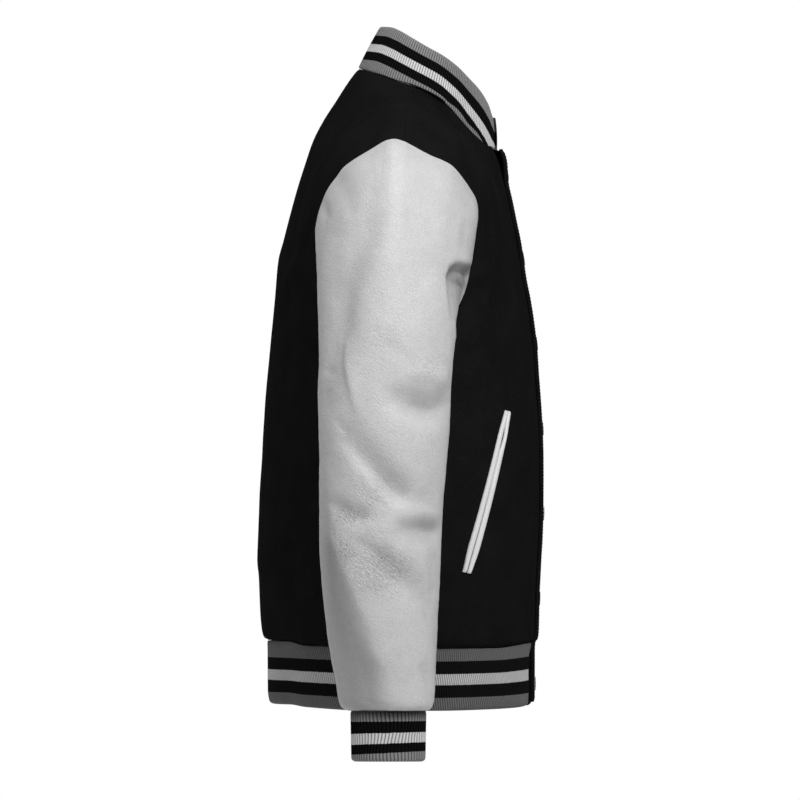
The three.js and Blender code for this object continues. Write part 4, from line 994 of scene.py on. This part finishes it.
def cuffSurface(shares, up):
    level = cuff["bottom"] + (cuff["top"] - cuff["bottom"]) * up
    lean = 0.02 * np.sin(2 * math.pi * shares + 2.6) * (up - 0.5)
    lean += 0.005 * np.sin(7 * up + 4 * math.pi * shares)
    turns = 2 * math.pi * (shares + lean)
    halfX, halfY = [low + (high - low) * up for low, high in zip(cuff["bottomHalf"], cuff["topHalf"])]
    x, y = cuff["middleX"] - halfX * np.cos(turns), cuff["middleY"] - halfY * np.sin(turns)
    return stacked(x, y, level)


def cuffLevel(rows):
    towardFront = (cuff["middleY"] - rows[..., 1]) / cuff["topHalf"][1]
    return (cuff["top"] - rows[..., 2]) * (1 + cuff["stripesRise"] * towardFront)


def collarLevel(rows):
    y = rows[..., 1]
    level = downOf(rows) * spreadAt(y)
    spread = collar["lowerSpread"] * smooth((-50 - y) / 15) + collar["frontSpread"] * smooth((-72 - y) / 14)
    return level + np.maximum(level - collar["whiteEnds"], 0) * spread


collarHeight = curvesOf(collarTop)[0]
neckTurns = np.linspace(math.pi, 0, samples["collar"])
neckMarks = marksOf(ellipsePoints(neckPlan, neckHeight, neckTurns))


def collarSurface(shares, up):  # from the left front end round the back to the right front end
    side = np.where(shares <= 0.5, 1, -1)
    turns = np.interp(2 * np.minimum(shares, 1 - shares) * neckMarks[-1], neckMarks, neckTurns)
    base, top = ellipsePoints(neckPlan, neckHeight, turns), ellipsePoints(collarTopPlan, collarHeight, turns)
    shifted = lapped(stacked(np.maximum(base[:, 0], band["half"]), base[:, 1], base[:, 2]))
    share = 0.05 + 0.3 * smooth(base[:, 0] / band["half"]) + 0.65 * smooth(base[:, 0] / 40 - 0.4)
    inFront = (side > 0) & (base[:, 1] < body["neckPointY"])
    base[:, 1] -= np.where(inFront, (base[:, 1] - shifted[:, 1]) * share, 0)
    for row in (base, top):
        row[:, 0] = np.maximum(row[:, 0], collar["frontGap"]) * side
    settled = base + (top - base) * up
    away = unit(stacked(settled[:, 0], settled[:, 1] - collarTopPlan["middleY"]))
    settled[:, :2] += collar["bulge"] * math.sin(math.pi * up) * away
    return settled


hemRib = ribObject("hemKnitBand", hemSurface, hem["ribs"], 5, 66, "hem", hemLevel, rolled=4.5)
collarRib = ribObject("collarKnitBand", collarSurface, collar["ribs"], 6, 50, "collar", collarLevel, topFold=True)


def cuffObject(side, sign):
    def surface(shares, up):
        return cuffSurface(shares if sign > 0 else 1 - shares, up) * [sign, 1, 1]

    return ribObject(f"cuff{side}Knit", surface, cuff["ribs"], 7, 54, "cuff", cuffLevel, ring=True, rolled=4)


cuffLeft, cuffRight = cuffObject("Left", 1), cuffObject("Right", -1)
print("rib knit made")


# Front bands

bandColumns = np.r_[-1, -0.95, -0.88, np.linspace(-0.8, 0.8, 11), 0.88, 0.95, 1]


def bandRow(centre, edge):  # curved from the middle to both edges
    y, z = [centre[c] + (edge[c] - centre[c]) * bandColumns**2 for c in (1, 2)]
    return stacked(edge[0] * bandColumns, y, z)


def bandRows():
    made = []
    for level in np.linspace(band["foot"], body["hemSeam"] - 3, 24):
        edge = halfSection(level, "front")[1](np.array([band["half"]]))[0]
        edge[2] += hemWave(edge[1], level) * (level > band["foot"])
        made.append(bandRow((0, -frontAt(level), edge[2]), edge))
    for level, edge in zip(lowerLevels, frontHalf[:, 0]):
        centre = halfSection(level, "front")[1](np.zeros(1))[0]
        centre[2] += hemWave(centre[1], level)
        made.append(bandRow(centre, edge))
    heights = body["armpitZ"] + (neckSeam[0][1] - body["armpitZ"]) * upperRises
    for height, edge in zip(heights, frontHalf[len(lowerLevels) :, 0]):
        made.append(bandRow((0, centreAt["front"](height), height), edge))
    return np.array(made)


def shapedBand(rows, seed):
    depth = 1.3 * borderRoll(rows)[0] + 0.3 * noiseField(rows, 34, seed)
    return rows + normalsOf(rows) * depth[..., None]


rightBandRows = bandRows()
leftBandRows = lapped(rightBandRows)
leftBandShaped = shapedBand(leftBandRows, 41)
bandLeft = clothObject("bandLeftWool", leftBandShaped, band["thickness"], "wool")
bandRight = clothObject("bandRightWool", shapedBand(rightBandRows, 43), band["thickness"], "wool")
print("bands made")


# Topstitching along both edges of the left band: each stitch lies on the cloth and dips into it at its ends

stitch = {
    "columns": (3, 13), "fromEnd": 5, "pitch": 3.7, "length": 2.6, "radius": 0.3, "rise": 0.24,
    "sunk": 0.6, "sides": 6,
}
stitchProfile = np.array([(0, 0.5), (0.2, 0.9), (0.5, 1), (0.8, 0.9), (1, 0.5)])  # share of length, of radius


def stitchedObject(name, rows):
    shares, radii = stitchProfile.T
    ring = np.arange(stitch["sides"])
    turns = ring[None, :, None] * 2 * math.pi / stitch["sides"]
    cosines, sines = np.cos(turns), np.sin(turns)
    ends = [ring[::-1], ring + (len(shares) - 1) * stitch["sides"]]
    tube = [*gridFaces(len(shares), stitch["sides"], True), *ends]
    normals = normalsOf(rows)
    points, faces = [], []
    for column in stitch["columns"]:
        line = rows[:, column]
        marks, ways = marksOf(line), np.gradient(line, axis=0)
        for start in np.arange(stitch["fromEnd"], marks[-1] - stitch["fromEnd"], stitch["pitch"]):
            places = start + shares * stitch["length"]
            spots, outs, alongs = [readAt(places, marks, values) for values in (line, normals[:, column], ways)]
            asides = unit(np.cross(alongs, outs))
            middles = spots + outs * (stitch["rise"] * (np.sin(np.pi * shares) - stitch["sunk"]))[:, None]
            rings = cosines * asides[:, None] + sines * outs[:, None]
            faces += [(face + len(points)).tolist() for face in tube]
            points.extend((middles[:, None] + rings * (stitch["radius"] * radii)[:, None, None]).reshape(-1, 3))
    return facingOut(meshObject(name, np.array(points), faces, ["blackThread"]))


bandStitching = stitchedObject("bandLeftStitching", leftBandShaped)
print("band stitched")


# Pocket welts: padded leather strips on both sides of the slit

pocket = {
    "top": (-115.4, -349), "bottom": (-71.4, -523), "length": 180, "bow": 2, "width": 6.7,
    "endWidth": 4.8, "taper": 0.16, "slit": 1.3, "opening": 2.2, "openingAt": 0.16, "openingReach": 0.07,
    "height": 2.9, "lift": 0.3, "endDrop": 0.5, "endRound": 1.6, "ripple": 0.16, "ripples": 62,
    "stations": 240,
}
weltSection = [  # share of the width, share of the height
    (0, 0), (1, 0), (1, 0.22), (0.96, 0.5), (0.87, 0.75), (0.7, 0.93), (0.5, 1), (0.3, 0.93), (0.13, 0.75),
    (0.04, 0.5), (0, 0.22),
]


def surfaceReader(rows):
    faces = gridFaces(*rows.shape[:2]).tolist()
    tree = BVHTree.FromPolygons([Vector(p) for p in rows.reshape(-1, 3)], faces)

    def at(start, way):  # the first point that a ray meets, and the surface's normal on the ray's side
        spot, normal, _, _ = tree.ray_cast(Vector(start), Vector(way))
        return np.array(spot), np.array(normal) * (1 if normal.dot(Vector(way)) < 0 else -1)

    return at


def weltObject(name, at, side, toward):
    def onFront(y, z):
        return at((600 * side, y, z), (-side, 0, 0))

    top, run = np.array(pocket["top"]), np.subtract(pocket["bottom"], pocket["top"])
    sections = []
    for share in np.linspace(0, 1, pocket["stations"]):
        y, z = top + run * share - [pocket["bow"] * math.sin(math.pi * share), 0]
        fromEnd = min(share, 1 - share)
        _, normal = onFront(y, z)
        way = np.array([0, *run])
        aside = unit(np.cross(normal, way - normal * way.dot(normal)))
        aside = aside * (1 if aside[1] < 0 else -1)
        rounded = 1 - pocket["endDrop"] * bell(fromEnd * pocket["length"], pocket["endRound"])
        ripple = pocket["ripple"] * math.sin(2 * math.pi * pocket["ripples"] * share + 2 * math.sin(31 * share))
        wide = pocket["endWidth"] + (pocket["width"] - pocket["endWidth"]) * smooth(fromEnd / pocket["taper"])
        gap = pocket["slit"] / 2
        if toward > 0:
            gap += pocket["opening"] * bell(share - pocket["openingAt"], pocket["openingReach"])
        for width, height in weltSection:
            distance = toward * (gap + width * (wide - gap + pocket["slit"] / 2))
            spot, out = onFront(y + aside[1] * distance, z + aside[2] * distance)
            raised = height * (pocket["height"] * rounded + ripple * smooth(width * 2 - 0.8))
            sections.append(spot + out * (pocket["lift"] + raised))
    count = len(weltSection)
    ring = list(range(count))
    ends = [ring[::-1], [(pocket["stations"] - 1) * count + k for k in ring]]
    faces = gridFaces(pocket["stations"], count, True).tolist() + ends
    made = facingOut(meshObject(name, np.array(sections), faces, ["welt"]))
    bpy.ops.object.shade_smooth_by_angle(angle=math.radians(50))
    return made


readers = {"right": surfaceReader(frontRightRows), "left": surfaceReader(frontLeftRows)}
welts = {}
for side, sign in (("right", -1), ("left", 1)):
    for edge, toward in (("front", 1), ("back", -1)):
        welts[side, edge] = weltObject(f"pocketWelt{side.title()}{edge.title()}", readers[side], sign, toward)
print("pockets made")


# Snap caps: a low dome with a stepped rim

snap = {"count": 7, "topZ": -92, "spacing": 92, "radius": 7.5, "height": 1, "lift": 0.15, "bevel": 0.18}
snapSteps = [  # inset, rise
    (0.9, 0.15), (1, 0.1), (0.35, -0.15), (1.4, 0.18), (1.6, 0.08), (1, 0.02),
]


def snapCap():
    bpy.ops.object.select_all(action="DESELECT")
    size = {"radius": snap["radius"] * mm, "depth": snap["height"] * 0.5 * mm}
    bpy.ops.mesh.primitive_cylinder_add(vertices=48, **size)
    made = bpy.context.object
    bpy.ops.object.mode_set(mode="EDIT")
    bpy.ops.mesh.select_mode(type="FACE")
    bpy.ops.mesh.select_all(action="DESELECT")
    bpy.ops.object.mode_set(mode="OBJECT")
    for polygon in made.data.polygons:
        polygon.select = polygon.normal.z > 0.9
    bpy.ops.object.mode_set(mode="EDIT")
    for inset, rise in snapSteps:
        bpy.ops.mesh.inset(thickness=inset * mm)
        bpy.ops.transform.translate(value=(0, 0, rise * mm))
    bpy.ops.object.mode_set(mode="OBJECT")
    sharp = {"limit_method": "ANGLE", "angle_limit": math.radians(25)}
    applied(made, "BEVEL", width=snap["bevel"] * mm, segments=2, **sharp)
    bpy.ops.object.shade_smooth_by_angle(angle=math.radians(35))
    made.data.materials.append(finishes["snap"])
    return made


onBand = surfaceReader(leftBandRows)
pattern = snapCap()
snaps = []
for k in range(snap["count"]):
    spot, normal = onBand((0, -400, snap["topZ"] - snap["spacing"] * k), (0, 1, 0))
    cap = linked(f"snapCap{k + 1}", pattern.data.copy())
    turned = Vector(normal).to_track_quat("Z", "Y").to_matrix().to_4x4()
    turned.translation = (spot + normal * (snap["lift"] + snap["height"] * 0.25)) * mm
    cap.data.transform(turned)
    snaps.append(cap)
bpy.data.objects.remove(pattern)
print("snaps made")


# Each piece hangs from the root in place of the part's own mesh

welted = {side: [welts[side, "front"], welts[side, "back"]] for side in ("left", "right")}
sheets = [  # piece, node, slot, size of the flat cut, its area, what it hangs from, pieces on it
    (frontLeft, "front_left", "wool", (0.305, 0.655), 0.15, ["back"], welted["left"]),
    (frontRight, "front_right", "wool", (0.305, 0.655), 0.15, ["back"], welted["right"]),
    (back, "back", "wool", (0.606, 0.7), 0.33, ["front_left"], []),
    (bandLeft, "band_left_over", "wool", (0.042, 0.62), 0.026, ["front_left"], [*snaps, bandStitching]),
    (bandRight, "band_right_under", "wool", (0.042, 0.62), 0.026, ["front_right"], []),
    (sleeveLeft, "sleeve_left", "leather", (0.46, 0.66), 0.23, ["front_left"], []),
    (sleeveRight, "sleeve_right", "leather", (0.46, 0.66), 0.23, ["front_right"], []),
    (hemRib, "hem_rib", "rib_knit", (1.1, 0.07), 0.077, ["back"], []),
    (collarRib, "collar_rib", "rib_knit", (0.46, 0.055), 0.0235, ["back"], []),
    (cuffLeft, "cuff_left", "rib_knit", (0.225, 0.056), 0.0126, ["sleeve_left"], []),
    (cuffRight, "cuff_right", "rib_knit", (0.225, 0.056), 0.0126, ["sleeve_right"], []),
]
dressed = [sheet[:3] for sheet in sheets]
dressed += [(welt, f"pocket_welt_{side}_{edge}", "welt_leather") for (side, edge), welt in welts.items()]
dressed += [(cap, f"snap_cap_{k + 1}", "snap_metal") for k, cap in enumerate(snaps)]
for piece, node, slotName in dressed:
    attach(piece, "root")
    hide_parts(node)
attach(bandStitching, "root")
for piece, node, slotName, flat, area, restsOn, onIt in sheets:
    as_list(restsOn)
    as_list(onIt)


# Floor, lights and camera: a long lens, true to size at the sleeve

stage = {
    "floorZ": -1.1, "floorSize": 50, "world": 0.22, "aimZ": -0.35, "distance": 38, "trueSizeAt": 0.1,
    "frameWidth": 0.864, "middleZ": -0.337, "farthest": 100,
}
lights = {  # place, size, watts
    "keyLight": ((-2, -1, 1.5), 1.1, 55),
    "frontLight": ((-2.8, -0.4, 0.5), 2.2, 4),
    "backLight": ((2.2, 2.4, 0.8), 1.8, 6),
    "topLight": ((-0.9, 0.9, 2.4), 1.6, 30),
}

bpy.ops.mesh.primitive_plane_add(size=stage["floorSize"], location=(0, 0, stage["floorZ"]))
floor = bpy.context.object
floor.name = "floor"
floor.data.materials.append(painted("paleFloor", lambda tree: {"Base Color": grey(0.85), "Roughness": 0.9}))

world = bpy.data.worlds.new("studio")
bpy.context.scene.world = world
world.use_nodes = True
tree = world.node_tree
light = tree.nodes["Background"]
light.inputs["Color"].default_value = (1, 1, 1, 1)
light.inputs["Strength"].default_value = stage["world"]
backdrop = place(tree, "Background", {"Color": (1, 1, 1, 1), "Strength": 1})
seen = place(tree, "LightPath").part("Is Camera Ray")
mixed = place(tree, "MixShader", {0: seen, 1: Signal(tree, light.outputs[0]), 2: backdrop})
feed(mixed, tree.nodes["World Output"].inputs["Surface"])

for name, (spot, size, watts) in lights.items():
    data = bpy.data.lights.new(name, "AREA")
    data.shape, data.size, data.energy = "SQUARE", size, watts
    made = linked(name, data)
    made.location = spot
    made.rotation_euler = (Vector((0, 0, stage["aimZ"])) - Vector(spot)).to_track_quat("-Z", "Y").to_euler()

cameraData = bpy.data.cameras.new("camera")
cameraData.lens = 36 * (stage["distance"] - stage["trueSizeAt"]) / stage["frameWidth"]
cameraData.clip_end = stage["farthest"]
camera = linked("camera", cameraData)
camera.location = (-stage["distance"], 0, stage["middleZ"])
camera.rotation_euler = (math.pi / 2, 0, -math.pi / 2)
bpy.context.scene.camera = camera
bpy.context.scene.view_settings.view_transform = "Standard"

print("scene done")
